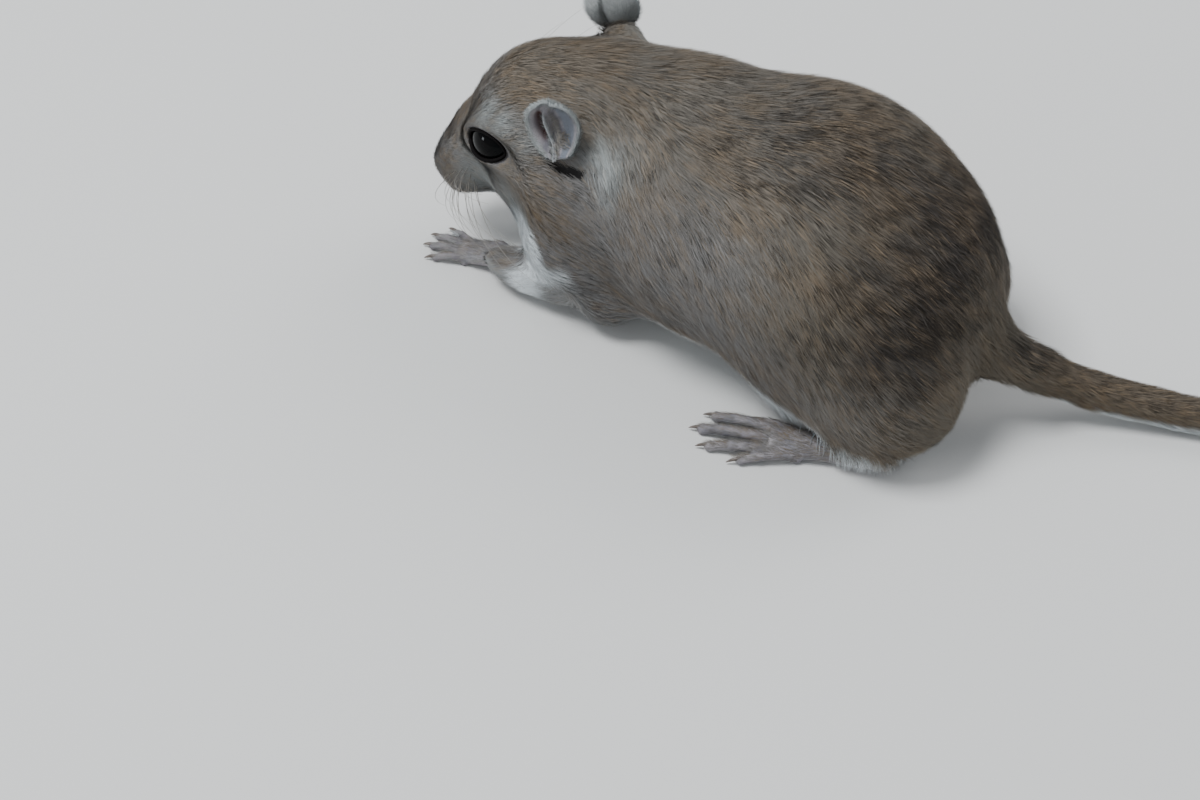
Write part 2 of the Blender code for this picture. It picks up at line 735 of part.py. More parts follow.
def beyond(share):
    """A block that takes in everything past the given share of the tail."""
    middle, _ = tail_at(share)
    ahead, _ = tail_at(share + 0.01)
    way = Vector(ahead - middle).normalized()
    shape = bmesh.new()
    bmesh.ops.create_cube(shape, size=20.0)
    turn = way.to_track_quat("X", "Z").to_matrix().to_4x4()
    place = Matrix.Translation(Vector(middle) + way * (10.0 - GAP)) @ turn
    shape.transform(Matrix.Scale(MM, 4) @ place)
    mesh = bpy.data.meshes.new("beyond")
    shape.to_mesh(mesh)
    shape.free()
    return link("beyond", mesh)


def gloss(name):
    colour, rough = MATERIALS[name]
    made = bpy.data.materials.get(name) or bpy.data.materials.new(name)
    made.use_nodes = True
    made.diffuse_color = (*colour, 1.0)
    surface = made.node_tree.nodes["Principled BSDF"]
    surface.inputs["Base Color"].default_value = (*colour, 1.0)
    surface.inputs["Roughness"].default_value = rough
    return made


def main():
    clear_scene()
    whole = clay()
    thinned(whole, CLAY_FACES)
    nodes = {}
    rooms = []
    for side, word in ((1, "left"), (-1, "right")):
        nodes["hindfoot_" + word], room = foot(
            "hindfoot", HIND_FOOT, HIND_SOLE, HIND_SOLE_HALF, HIND_TOES, HIND_CLAW, side, 0.22, 780
        )
        rooms.append(room)
        nodes["forepaw_" + word], room = foot(
            "forepaw", FORE_PAW, FORE_SOLE, FORE_SOLE_HALF, FORE_TOES, FORE_CLAW, side, 0.2, 560
        )
        rooms.append(room)
    for room in rooms:
        cut(whole, room)
    for side, word in ((1, "left"), (-1, "right")):
        for name, (centre, radii, pitch), frame in (
            ("hindleg", HIP_CUT, hip_matrix()),
            ("foreleg", SHOULDER_CUT, None),
        ):
            row = (mirrored(centre, side), radii, pitch)
            nodes[name + "_" + word] = parted(whole, name, row, frame=frame)
    nodes["head"] = parted(whole, "head", HEAD_CUT)
    nodes["neck"] = parted(whole, "neck", NECK_CUT)
    nodes["tail_base"] = parted(whole, "tail_base", TAIL_CUT, 2)
    nodes["torso"] = whole
    head = nodes["head"]
    for side, word in ((1, "left"), (-1, "right")):
        nodes["ear_" + word], room = ear(side)
        cut(head, room, keep=True)
        cut(nodes["torso"], room, keep=True)
        cut(nodes["neck"], room)
    face_forms(head)
    for side, word in ((1, "left"), (-1, "right")):
        nodes["eye_" + word] = round_eye("eye", mirrored(EYE, side), EYE_RADIUS)
    first, second = TAIL_PARTS
    cut(nodes["tail_base"], beyond(first))
    nodes["tail_middle"] = tail_piece("tail_middle", first, second, 14)
    nodes["tail_tip"] = united(tail_piece("tail_tip", second + 0.004, 1.0, 12), brush())
    block = floor_block()
    for name, thing in nodes.items():
        if name.split("_")[0] not in ("head", "neck", "ear", "eye"):
            cut(thing, block, keep=True)
        thing.name = name
        thing.data.name = name
        thing.data.materials.clear()
        thing.data.materials.append(gloss(SLOTS[name.split("_")[0]]))
    bpy.data.objects.remove(block)
    low = np.min([points_of(t.data).min(axis=0) for t in nodes.values()], axis=0)
    high = np.max([points_of(t.data).max(axis=0) for t in nodes.values()], axis=0)
    middle = (low + high) / 2.0
    for thing in nodes.values():
        thing.data.transform(Matrix.Translation((-middle[0], -middle[1], -low[2])))
        triangulated(thing)


if __name__ == "__main__":
    main()
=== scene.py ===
"""The looks of a life-size museum model of a hunched, feeding gerbil.

A skin, a coat of solid tufts, eyes, lids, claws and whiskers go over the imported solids, in their frame:
+X to the head, +Y to the animal's left, +Z up. The tables below are in millimetres and degrees, in the
body's own frame, whose origin is on the floor under the ribs.
"""

import math

import bmesh
import bpy
import numpy as np
from bpy.props import FloatProperty, FloatVectorProperty, IntProperty, PointerProperty
from bpy.types import Operator, Panel, PropertyGroup
from mathutils import Matrix, Vector
from mathutils.bvhtree import BVHTree
from mathutils.kdtree import KDTree


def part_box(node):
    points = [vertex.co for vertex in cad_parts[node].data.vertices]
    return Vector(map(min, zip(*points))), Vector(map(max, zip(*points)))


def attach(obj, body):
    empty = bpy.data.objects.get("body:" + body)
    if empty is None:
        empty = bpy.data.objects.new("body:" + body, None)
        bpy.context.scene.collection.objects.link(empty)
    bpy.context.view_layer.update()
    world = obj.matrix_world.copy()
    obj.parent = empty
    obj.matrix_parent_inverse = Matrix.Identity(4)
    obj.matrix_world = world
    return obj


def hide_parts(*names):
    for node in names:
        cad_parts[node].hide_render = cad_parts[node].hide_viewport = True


bl_info = {
    "name": "Gerbil Model Looks",
    "version": (1, 0, 0),
    "blender": (4, 5, 0),
    "location": "3D View > Sidebar > Gerbil",
    "description": "Skin, coat, eyes, claws and whiskers for a life-size model of a gerbil",
    "category": "Object",
}

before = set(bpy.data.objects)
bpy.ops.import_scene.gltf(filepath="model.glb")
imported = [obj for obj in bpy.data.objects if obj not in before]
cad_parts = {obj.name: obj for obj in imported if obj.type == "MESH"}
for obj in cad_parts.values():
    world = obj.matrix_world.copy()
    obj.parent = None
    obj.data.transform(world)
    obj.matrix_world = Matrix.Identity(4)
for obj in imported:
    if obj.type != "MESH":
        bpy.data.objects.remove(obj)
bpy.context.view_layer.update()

MM = 0.001

# The head's own frame has its origin in the middle of the cranium, x to the nose and z to the crown.
CRANIUM = np.array((28.0, 1.3, 27.0))
HEAD_PITCH, HEAD_YAW, HEAD_ROLL = 30.0, 13.0, 2.0
EYE_RADIUS = 4.3
EYE = (5.9, 5.4, 2.0)  # the left one, in the head's frame
EYE_LOOK = (0.355, 0.912, 0.211)
EYE_SLANT = 22.5
LIDS = (0.98, 0.62, 0.27)  # half length and upper and lower half heights of the opening, in radii

EAR_ROOT = (-9.6, 14.5, 3.0)
EAR_TIP = (-10.6, 14.4, 10.9)
EAR_FACING = (0.08, 0.94, 0.01)
EAR_WIDTH = 7.8
EAR_CUP = (2.2, 0.9)
EAR_RIDGE = 1.3
# Balls that round the flesh out, each with its middle and half sizes: the base below each ear's cup, in the
# head's frame, and one that evens the flank out between the ribs and the loin, in the body's.
EAR_BASE = ((-10.0, 12.7, 2.1), (4.1, 3.4, 3.8))
WAIST = ((-2.0, 1.2, 22.0), (22.0, 20.3, 19.5))
# The line of the crease between the ear's base and the cheek: a groove in the skin, painted near-black as
# the shadow in it.
NOTCH = (
    (-4.8, 14.0, 3.6),
    (-5.8, 15.0, 2.5),
    (-6.8, 15.8, 1.6),
    (-7.9, 16.4, 0.8),
    (-9.1, 16.9, 0.1),
    (-10.4, 17.2, -0.4),
)
# The mouth's line: a crease in the skin, painted dark as the shade in it.
MOUTH = (
    (22.4, 0.0, -6.0),
    (21.8, 1.5, -6.3),
    (20.4, 3.2, -6.8),
    (18.6, 4.4, -7.1),
    (16.6, 4.9, -7.2),
    (14.6, 5.2, -6.9),
)

# A foot's own frame has its origin under the heel, x to the toes and y to the animal's left.
HIND_FOOT = (-37.5, 18.3, 16.0)
HIND_SOLE = ((0.0, 0.0, 2.3), (8.0, 0.1, 2.0), (16.5, 0.2, 1.5))
HIND_SOLE_HALF = ((2.3, 2.4), (2.2, 1.8), (2.9, 1.4))
HIND_TOES = (
    ((11.5, -1.8, 1.5), (18.0, -3.6, 1.0), 0.75),
    ((16.0, -2.0, 1.5), (25.0, -3.0, 1.0), 0.90),
    ((16.5, 0.0, 1.5), (26.6, -0.2, 1.0), 0.95),
    ((16.0, 2.0, 1.5), (25.0, 2.8, 1.0), 0.90),
    ((12.5, 2.2, 1.5), (20.0, 4.4, 1.0), 0.80),
)
HIND_CLAW = 2.2
FORE_PAW = (35.0, 11.0, 2.0)
FORE_SOLE = ((-2.5, 0.0, 3.2), (1.0, 0.0, 2.0), (4.0, 0.0, 1.4))
FORE_SOLE_HALF = ((2.1, 2.1), (2.3, 1.7), (2.5, 1.3))
FORE_TOES = (
    ((3.2, -1.8, 1.3), (7.2, -3.2, 0.85), 0.65),
    ((4.0, -0.7, 1.4), (9.0, -1.1, 0.85), 0.72),
    ((4.0, 0.7, 1.4), (9.0, 1.1, 0.85), 0.72),
    ((3.2, 1.8, 1.3), (7.4, 3.2, 0.85), 0.65),
)
FORE_CLAW = 1.9

# The tail's middle line from inside the rump to the tip, and its half thickness with the coat.
TAIL_PATH = (
    (-38.0, 1.5, 17.0),
    (-47.5, 0.4, 13.2),
    (-54.0, -2.8, 8.8),
    (-61.5, -6.3, 5.2),
    (-69.0, -8.8, 3.9),
    (-76.0, -11.0, 3.5),
    (-90.0, -14.4, 3.3),
    (-105.0, -15.2, 3.2),
    (-120.0, -12.6, 3.0),
    (-133.0, -8.0, 2.8),
)
TAIL_HALF = (7.0, 5.0, 3.9, 3.5, 3.3, 3.2, 3.1, 2.9, 2.7, 1.6)
BRUSH_FROM = 0.74

BODY_NODES = (
    "head",
    "neck",
    "torso",
    "tail_base",
    "foreleg_left",
    "foreleg_right",
    "hindleg_left",
    "hindleg_right",
)
FLESH_NODES = BODY_NODES + (
    "tail_middle",
    "tail_tip",
    "ear_left",
    "ear_right",
    "forepaw_left",
    "forepaw_right",
    "hindfoot_left",
    "hindfoot_right",
)

# Each region's coat: its depth, hair length and hair width, the angle at which hairs rise from the skin,
# and the tufts on a square millimetre: bent ones below and fine straight ones above.
REGIONS = {
    "back": (1.35, 5.4, 0.28, 12.0, 2.8, 20.0),
    "rump": (1.45, 5.9, 0.28, 13.0, 2.8, 20.0),
    "belly": (1.2, 4.6, 0.28, 17.0, 2.4, 6.0),
    "head": (0.75, 2.9, 0.18, 13.0, 3.0, 20.0),
    "muzzle": (0.4, 1.7, 0.15, 14.0, 0.0, 38.0),
    "nose": (0.15, 0.6, 0.09, 20.0, 0.0, 40.0),
    "lids": (0.2, 1.0, 0.13, 13.0, 0.0, 45.0),
    "ear": (0.10, 0.95, 0.10, 34.0, 0.0, 60.0),
    "leg": (0.6, 2.4, 0.17, 14.0, 3.0, 16.0),
    "tail": (0.5, 2.5, 0.16, 14.0, 4.0, 18.0),
}
SWELL = 0.22  # the flesh nodes grow by this before they are fused, which closes the cuts between them
FOOT_GRAIN = 0.17  # spacing of the points when a foot is fused
COAT_MARKS = ("belly", "warm", "grey", "pale", "dusk")
SKIN_PLACES = ("on_foot", "on_ear", "across", "up_ear", "inner")

TUFT_RIDGE = 0.17  # a tuft's height as a share of its width
TUFT_ROUNDING = 0.7  # how far the light turns from one edge of a tuft to the other
TUFT_PATCH = 0.003  # the side of each tuft's patch on the map
PIECE_FACES = 190000
COAT_FACES = 1500000


def body_frame():
    """The head's attitude, and the way from the body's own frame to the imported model's."""
    yaw = Matrix.Rotation(math.radians(HEAD_YAW), 3, "Z")
    pitch = Matrix.Rotation(math.radians(HEAD_PITCH), 3, "Y")
    roll = Matrix.Rotation(math.radians(HEAD_ROLL), 3, "X")
    turn = np.array(yaw @ pitch @ roll)
    low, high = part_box("eye_left")
    eye = np.array((low + high) / 2.0) / MM
    return turn, eye - turn @ np.array(EYE) - CRANIUM


HEAD, SHIFT = body_frame()


def linear(code):
    """An sRGB hex colour as linear light."""
    parts = [int(code[n : n + 2], 16) / 255.0 for n in (1, 3, 5)]
    return tuple(c / 12.92 if c <= 0.04045 else ((c + 0.055) / 1.055) ** 2.4 for c in parts)


def smooth_step(value, low, high):
    share = np.clip((value - low) / (high - low), 0.0, 1.0)
    return share * share * (3.0 - 2.0 * share)


def unit(rows):
    return rows / (np.linalg.norm(rows, axis=-1, keepdims=True) + 1e-12)


def in_head(points):
    return (points - CRANIUM) @ HEAD


def from_head(points):
    return np.asarray(points, float) @ HEAD.T + CRANIUM


def mirrored(point, side):
    x, y, z = point
    return (x, side * y, z)


def both(point):
    """The left and the right place of a head mark, in the body's frame."""
    return from_head([mirrored(point, 1), mirrored(point, -1)])


def waves(points, size, seed):
    """A smooth field between about -1 and 1 that changes over the given size in millimetres."""
    chance = np.random.default_rng(seed)
    total = np.zeros(len(points))
    for _ in range(7):
        way = chance.normal(size=3)
        way *= 2.0 * math.pi / (size * chance.uniform(0.7, 1.9) * np.linalg.norm(way))
        total += np.sin(points @ way + chance.uniform(0.0, 6.3))
    return total / 3.0


def points_of(mesh):
    """The mesh's points in the body's frame, in millimetres."""
    flat = np.empty(len(mesh.vertices) * 3, np.float32)
    mesh.vertices.foreach_get("co", flat)
    return flat.reshape(-1, 3).astype(float) / MM - SHIFT


def normals_of(mesh):
    flat = np.empty(len(mesh.vertices) * 3, np.float32)
    mesh.vertices.foreach_get("normal", flat)
    return flat.reshape(-1, 3).astype(float)


def place_points(mesh, points):
    mesh.vertices.foreach_set("co", ((points + SHIFT) * MM).astype(np.float32).ravel())
    mesh.update()


def faces_of(mesh):
    """The corners of a mesh that has only triangles."""
    flat = np.empty(len(mesh.loops), np.int32)
    mesh.loops.foreach_get("vertex_index", flat)
    return flat.reshape(-1, 3)


def shape_from(name, points, faces):
    """A mesh from points in the body's frame and triangles, or quads."""
    faces = np.asarray(faces, np.int32)
    mesh = bpy.data.meshes.new(name)
    mesh.vertices.add(len(points))
    mesh.loops.add(faces.size)
    mesh.polygons.add(len(faces))
    mesh.loops.foreach_set("vertex_index", faces.ravel())
    mesh.polygons.foreach_set("loop_start", np.arange(0, faces.size, faces.shape[1], dtype=np.int32))
    place_points(mesh, np.asarray(points, float))
    mesh.update(calc_edges=True)
    mesh.polygons.foreach_set("use_smooth", np.ones(len(faces), bool))
    return mesh


def turned_out(mesh):
    """The mesh with all its faces turned outwards."""
    shape = bmesh.new()
    shape.from_mesh(mesh)
    bmesh.ops.recalc_face_normals(shape, faces=shape.faces)
    shape.to_mesh(mesh)
    shape.free()
    return mesh


def link(name, mesh):
    thing = bpy.data.objects.new(name, mesh)
    bpy.context.scene.collection.objects.link(thing)
    return thing


def write(mesh, name, values):
    spot = mesh.attributes.get(name) or mesh.attributes.new(name, "FLOAT", "POINT")
    spot.data.foreach_set("value", np.asarray(values, np.float32))


def read(mesh, name):
    values = np.empty(len(mesh.vertices), np.float32)
    mesh.attributes[name].data.foreach_get("value", values)
    return values.astype(float)


def applied(thing):
    """The object with its modifiers worked into its mesh."""
    graph = bpy.context.evaluated_depsgraph_get()
    mesh = bpy.data.meshes.new_from_object(thing.evaluated_get(graph))
    thing.modifiers.clear()
    thing.data = mesh
    return thing


def fused(thing, grain):
    fuse = thing.modifiers.new("fuse", "REMESH")
    fuse.mode = "VOXEL"
    fuse.voxel_size = grain * MM
    return applied(thing)


def thinned(thing, faces, group=None):
    """Fewer faces, in triangles. A vertex group says where they may go."""
    split = thing.modifiers.new("split", "TRIANGULATE")
    split.keep_custom_normals = False
    fewer = thing.modifiers.new("fewer", "DECIMATE")
    fewer.ratio = min(1.0, faces / (2.0 * len(thing.data.polygons)))
    if group is not None:
        fewer.vertex_group = group
    return applied(thing)


def relaxed(mesh, points, rounds, softness):
    """Each point moves the given share of the way to its neighbours' middle, round by round."""
    ends = np.empty(len(mesh.edges) * 2, np.int32)
    mesh.edges.foreach_get("vertices", ends)
    first, second = ends.reshape(-1, 2).T
    count = np.maximum(np.bincount(ends, minlength=len(points)), 1)[:, None]
    for _ in range(rounds):
        total = np.stack(
            [
                np.bincount(first, points[second, k], len(points))
                + np.bincount(second, points[first, k], len(points))
                for k in range(3)
            ],
            axis=1,
        )
        points = points + np.reshape(softness, (-1, 1)) * (total / count - points)
    return points


def tail_at(shares):
    """Places and half thicknesses on the tail's middle line, a smooth curve through its points."""
    line = np.column_stack([TAIL_PATH, TAIL_HALF])
    place = np.clip(shares, 0.0, 1.0) * (len(line) - 1)
    n = np.minimum(place.astype(int), len(line) - 2)
    t = place - n
    last = len(line) - 1
    corners = [line[np.clip(n + k, 0, last)] for k in (-1, 0, 1, 2)]
    bends = (-t + 2 * t**2 - t**3, 2 - 5 * t**2 + 3 * t**3, t + 4 * t**2 - 3 * t**3, t**3 - t**2)
    found = 0.5 * sum(bend[:, None] * corner for bend, corner in zip(bends, corners))
    return found[:, :3], found[:, 3]


def on_tail(points):
    """For each point, the share of the tail nearest to it and the tail's direction there."""
    shares = np.linspace(0.0, 1.0, 160)
    middles, _ = tail_at(shares)
    ways = unit(np.gradient(middles, axis=0))
    nearest = np.empty(len(points), int)
    for start in range(0, len(points), 20000):
        block = points[start : start + 20000]
        gap = ((block[:, None, :] - middles[None, :, :]) ** 2).sum(axis=2)
        nearest[start : start + 20000] = gap.argmin(axis=1)
    return shares[nearest], ways[nearest]


def tube_points(line, halves, sides, flat=(0.0, 0.0, 1.0)):
    """Rings of points round a line. Each half is a half width and a half thickness."""
    line = np.asarray(line, float)
    ahead = unit(np.gradient(line, axis=0))
    across = unit(np.cross(flat, ahead))
    upward = np.cross(ahead, across)
    turns = 2.0 * math.pi * np.arange(sides) / sides
    halves = np.asarray([half if isinstance(half, tuple) else (half, half) for half in halves], float)
    rings = line[:, None, :]
    rings = rings + halves[:, :1, None] * np.cos(turns)[None, :, None] * across[:, None, :]
    rings = rings + halves[:, 1:, None] * np.sin(turns)[None, :, None] * upward[:, None, :]
    return rings.reshape(-1, 3)


def tube_faces(count, sides):
    """Triangles of a closed tube of the given number of rings."""
    faces = []
    for ring in range(count - 1):
        for k in range(sides):
            a, b = ring * sides + k, ring * sides + (k + 1) % sides
            faces += [(a, b, b + sides), (a, b + sides, a + sides)]
    last = (count - 1) * sides
    faces += [(0, k + 1, k) for k in range(1, sides - 1)]
    faces += [(last, last + k, last + k + 1) for k in range(1, sides - 1)]
    return np.array(faces)


def ball_mesh(centre, radii, detail=3):
    shape = bmesh.new()
    bmesh.ops.create_icosphere(shape, subdivisions=detail, radius=1.0)
    points = np.array([vert.co for vert in shape.verts]) * np.array(radii) + np.array(centre)
    faces = np.array([[vert.index for vert in face.verts] for face in shape.faces])
    shape.free()
    return points, faces


def gathered(parts):
    """One list of points and one of faces from several."""
    points, faces, count = [], [], 0
    for some_points, some_faces in parts:
        points.append(some_points)
        faces.append(np.asarray(some_faces) + count)
        count += len(some_points)
    return np.vstack(points), np.vstack(faces)


def foot_turn(place, side):
    """From a foot's own frame to the body's."""
    angle = math.radians(place[2])
    cosine, sine = math.cos(angle), math.sin(angle)
    turn = np.array(((cosine, -sine, 0.0), (sine, cosine, 0.0), (0.0, 0.0, 1.0)))

    def moved(points):
        points = np.asarray(points, float) @ turn.T + np.array((place[0], place[1], -0.15))
        return points * np.array((1.0, side, 1.0))

    return moved


def toe_line(start, end, lift=0.5, count=7):
    share = np.linspace(0.0, 1.0, count)[:, None]
    line = np.array(start) + (np.array(end) - np.array(start)) * share
    line[:, 2:] += lift * 4.0 * share * (1.0 - share)
    return line


def foot_shape(place, sole, sole_half, toes, side, faces):
    """Heel, sole, pads and toes as one closed skin."""
    parts = [(tube_points(sole, sole_half, 16), tube_faces(3, 16))]
    parts.append(ball_mesh(sole[0], (sole_half[0][0] * 1.12,) * 3))
    for start, end, half in toes:
        line = toe_line(start, end)
        halves = np.linspace(half * 1.02, half * 0.8, len(line))
        parts.append((tube_points(line, halves, 12), tube_faces(len(line), 12)))
        for spot, size in ((line[2], 1.0), (line[4], 1.08), (np.array(end) + (0.0, 0.0, -0.05), 1.02)):
            parts.append(ball_mesh(spot, (half * size * 1.1, half * size, half * size * 0.95), 2))
        parts.append(ball_mesh(np.array(start) + (-0.4, 0.0, -0.55), (half * 1.3, half * 1.1, half), 2))
    points, corners = gathered(parts)
    piece = link("foot", shape_from("foot", foot_turn(place, side)(points), corners))
    if side < 0:
        piece.data.flip_normals()
    fused(piece, FOOT_GRAIN)
    thinned(piece, faces)
    points = relaxed(piece.data, points_of(piece.data), 2, 0.5)
    points[:, 2] = np.maximum(points[:, 2], 0.02)
    corners = faces_of(piece.data)
    bpy.data.objects.remove(piece)
    return points, corners


def ear_points(across, along):
    """The ear's inner face in the head's frame."""
    root, tip = np.array(EAR_ROOT), np.array(EAR_TIP)
    up = unit(tip - root)
    facing = np.array(EAR_FACING)
    facing = unit(facing - up * (facing @ up))
    back = np.cross(up, facing)
    if back[0] > 0:
        back = -back
    high = np.sqrt(np.clip(1.0 - ((along - 0.5) / 0.5) ** 2, 0.0, 1.0))
    width = np.where(along > 0.5, high, 0.42 + 0.58 * np.sin(math.pi * along))
    rim = np.maximum(np.abs(across) ** 2.4, np.clip(1.0 - along / 0.35, 0.0, 1.0) ** 2)
    ridge = EAR_RIDGE * np.exp(-(((across + 0.34) / 0.18) ** 2)) * (1.0 - smooth_step(along, 0.6, 0.95))
    lift = (EAR_CUP[0] + (EAR_CUP[1] - EAR_CUP[0]) * along) * rim
    lift += np.maximum(0.0, ridge - 0.6 * rim) - 0.9 * np.sin(math.pi * along)
    slit = np.exp(-(((across + 0.64) / 0.12) ** 2))
    lift -= 0.6 * slit * smooth_step(along, 0.2, 0.4) * (1.0 - smooth_step(along, 0.7, 0.9))
    spot = root + up * (np.linalg.norm(tip - root) * along)[..., None]
    spot = spot + back * (EAR_WIDTH / 2.0 * width * across + 0.5 * along)[..., None]
    return spot + facing * lift[..., None]


def ear_shape(side):
    """A thin cupped sheet, with each point's place across and along the ear, and which face it is on."""
    wide = tall = 44
    across, along = np.meshgrid(np.linspace(-1.0, 1.0, wide + 1), np.linspace(0.0, 0.985, tall + 1))
    grid = ear_points(across, along)
    normal = unit(np.cross(np.gradient(grid, axis=1), np.gradient(grid, axis=0)))
    if np.mean(normal @ np.array(EAR_FACING)) < 0:
        normal = -normal
    rim = np.maximum(np.abs(across) ** 6, smooth_step(along, 0.9, 1.0))
    inner = grid - normal * (0.16 + 0.08 * rim[..., None])
    outer = grid - normal * (0.66 - 0.10 * rim[..., None])
    points = np.concatenate([inner.reshape(-1, 3), outer.reshape(-1, 3)])
    count = (wide + 1) * (tall + 1)
    faces = []
    for v in range(tall):
        for u in range(wide):
            a = v * (wide + 1) + u
            b, c, d = a + 1, a + wide + 2, a + wide + 1
            faces += [(a, b, c), (a, c, d)]
            faces += [(count + a, count + c, count + b), (count + a, count + d, count + c)]
    edge = list(range(wide)) + [v * (wide + 1) + wide for v in range(tall)]
    edge += [tall * (wide + 1) + u for u in range(wide, 0, -1)]
    edge += [v * (wide + 1) for v in range(tall, 0, -1)]
    for a, b in zip(edge, edge[1:] + edge[:1]):
        faces += [(b, a, count + a), (b, count + a, count + b)]
    faces = np.array(faces)
    corners = points[faces[: 2 * wide]]
    out = np.cross(corners[:, 1] - corners[:, 0], corners[:, 2] - corners[:, 0])
    if np.mean(out[::4] @ np.array(EAR_FACING)) < 0:
        faces = faces[:, ::-1]
    points = points * np.array((1.0, side, 1.0))
    if side < 0:
        faces = faces[:, ::-1]
    across, along = np.tile(across.ravel(), 2), np.tile(along.ravel(), 2)
    return from_head(points), faces, across, along, np.repeat((1.0, 0.0), count)


def eye_axes(side):
    """The eye's own directions in the head's frame: along the lids, across them, and outwards."""
    out = unit(np.array(mirrored(EYE_LOOK, side)))
    along = np.array((1.0, 0.0, math.tan(math.radians(EYE_SLANT))))
    along = unit(along - out * (along @ out))
    across = np.cross(out, along)
    return along, across * np.sign(across[2]), out


def lid_line(side, radius, count=64):
    """The edge of the lids' opening on a ball of the given radius, in the body's frame."""
    along, across, out = eye_axes(side)
    turn = 2.0 * math.pi * np.arange(count)[:, None] / count
    height = np.where(np.sin(turn) > 0, LIDS[1], LIDS[2])
    way = along * (LIDS[0] * np.cos(turn)) + across * (height * np.sin(turn)) + out * 0.62
    return from_head(np.array(mirrored(EYE, side)) + unit(way) * radius)


def in_opening(head, side):
    """How far out each point of the head's frame is, as seen from the eye's middle: 1 at the lids' edge."""
    along, across, out = eye_axes(side)
    way = head - np.array(mirrored(EYE, side))
    ahead = way @ out
    height = way @ across / np.maximum(ahead, 0.1)
    height = height / np.where(height > 0, LIDS[1], LIDS[2])
    length = way @ along / np.maximum(ahead, 0.1) / LIDS[0]
    share = 0.62 * np.hypot(height, length)
    return np.where((ahead > 0) & (np.linalg.norm(way, axis=1) < 7.5), share, 9.0)


def gap_to(points, line):
    """How far each point is from the nearest point of a line."""
    gap = np.full(len(points), 1e9)
    for spot in line:
        np.minimum(gap, ((points - spot) ** 2).sum(axis=1), out=gap)
    return np.sqrt(gap)


def region_shares(points, normals, on_foot, on_ear):
    """How much of each region of the coat a point belongs to. The shares of a point add up to 1."""
    head = in_head(points)
    shares = {name: np.zeros(len(points)) for name in REGIONS}
    shares["back"][:] = 1.0

    def claim(name, mask):
        for other in shares:
            shares[other] *= 1.0 - mask
        shares[name] += mask

    claim("rump", smooth_step(-points[:, 0], 14.0, 36.0))
    claim("belly", smooth_step(-normals[:, 2], 0.3, 0.8) * (1.0 - smooth_step(points[:, 2], 12.0, 20.0)))
    claim("tail", smooth_step(-points[:, 0], 49.0, 56.0))
    low = 1.0 - smooth_step(points[:, 2], 7.0, 12.0)
    inner = 8.0 - 4.0 * smooth_step(points[:, 0], 12.0, 20.0)
    outer = smooth_step(np.abs(points[:, 1]) - inner, 0.0, 3.0)
    claim("leg", low * smooth_step(points[:, 0], 4.0, 14.0) * outer)
    ankle = np.abs(points) - np.array((36.0, 18.0, 2.5))
    claim("leg", np.exp(-((ankle**2).sum(axis=1) / 30.0)))
    claim("head", smooth_step(head[:, 0], -13.0, -1.0))
    claim("muzzle", smooth_step(head[:, 0], 9.5, 17.0))
    claim("nose", smooth_step(head[:, 0], 22.6, 24.4))
    for side in (1, -1):
        gap = gap_to(points, lid_line(side, EYE_RADIUS + 0.4, 32))
        claim("lids", 1.0 - smooth_step(gap, 0.7, 4.0))
        gap = np.linalg.norm(head - np.array(mirrored(EAR_BASE[0], side)), axis=1)
        claim("muzzle", 0.85 * (1.0 - smooth_step(gap, 3.8, 5.6)))
    claim("muzzle", on_foot)
    claim("ear", on_ear)
    return shares


def coat_value(shares, column):
    """A size of the coat, mixed from the regions."""
    return sum(shares[name] * row[column] for name, row in REGIONS.items())


def lie_of_coat(points, normals):
    """Which way the hairs lie: back from the nose, down the flanks, along the limbs and the tail."""
    head = in_head(points)
    drop = 0.95 - 0.45 * smooth_step(-points[:, 0], 8.0, 40.0)
    lie = np.column_stack([-np.ones(len(points)), np.zeros(len(points)), -drop])
    below = 1.0 - smooth_step(head[:, 2], -4.0, 3.0)
    back = np.column_stack([-np.ones(len(points)), 0.25 * np.tanh(head[:, 1] / 3.0), 0.12 - 0.6 * below])
    share = smooth_step(head[:, 0], -16.0, -5.0)[:, None]
    lie = lie * (1.0 - share) + (back @ HEAD.T) * share
    for side in (1, -1):
        for spot, reach, power in ((EYE, 8.0, 0.97), (EAR_ROOT, 6.5, 1.1)):
            away = points - from_head(mirrored(spot, side))
            gap = np.linalg.norm(away, axis=1)[:, None]
            away = away / (gap + 1e-9)
            inward = np.minimum((lie * away).sum(axis=1, keepdims=True), 0.0)
            lie = lie - away * inward * power * np.exp(-((gap / reach) ** 4))
    low = 1.0 - smooth_step(points[:, 2], 6.0, 11.0)
    arm = (low * smooth_step(points[:, 0], 11.0, 20.0))[:, None]
    lie = lie * (1.0 - arm) + arm * np.array((1.0, 0.0, -0.35))
    ankle = np.abs(points) - np.array((33.0, 18.0, 2.0))
    ankle = (np.exp(-((ankle**2).sum(axis=1) / 60.0)) * (points[:, 0] < 0))[:, None]
    lie = lie * (1.0 - ankle) + ankle * np.array((0.7, 0.0, -0.9))
    tail = smooth_step(-points[:, 0], 44.0, 54.0)
    some = tail > 0
    _, ways = on_tail(points[some])
    lie[some] = lie[some] * (1.0 - tail[some, None]) + ways * tail[some, None]
    lie = unit(lie)
    for axis in range(3):
        lie[:, axis] += 0.13 * waves(points, 16.0, 20 + axis) + 0.07 * waves(points, 5.0, 30 + axis)
    lie = lie - normals * (lie * normals).sum(axis=1, keepdims=True)
    return unit(lie)
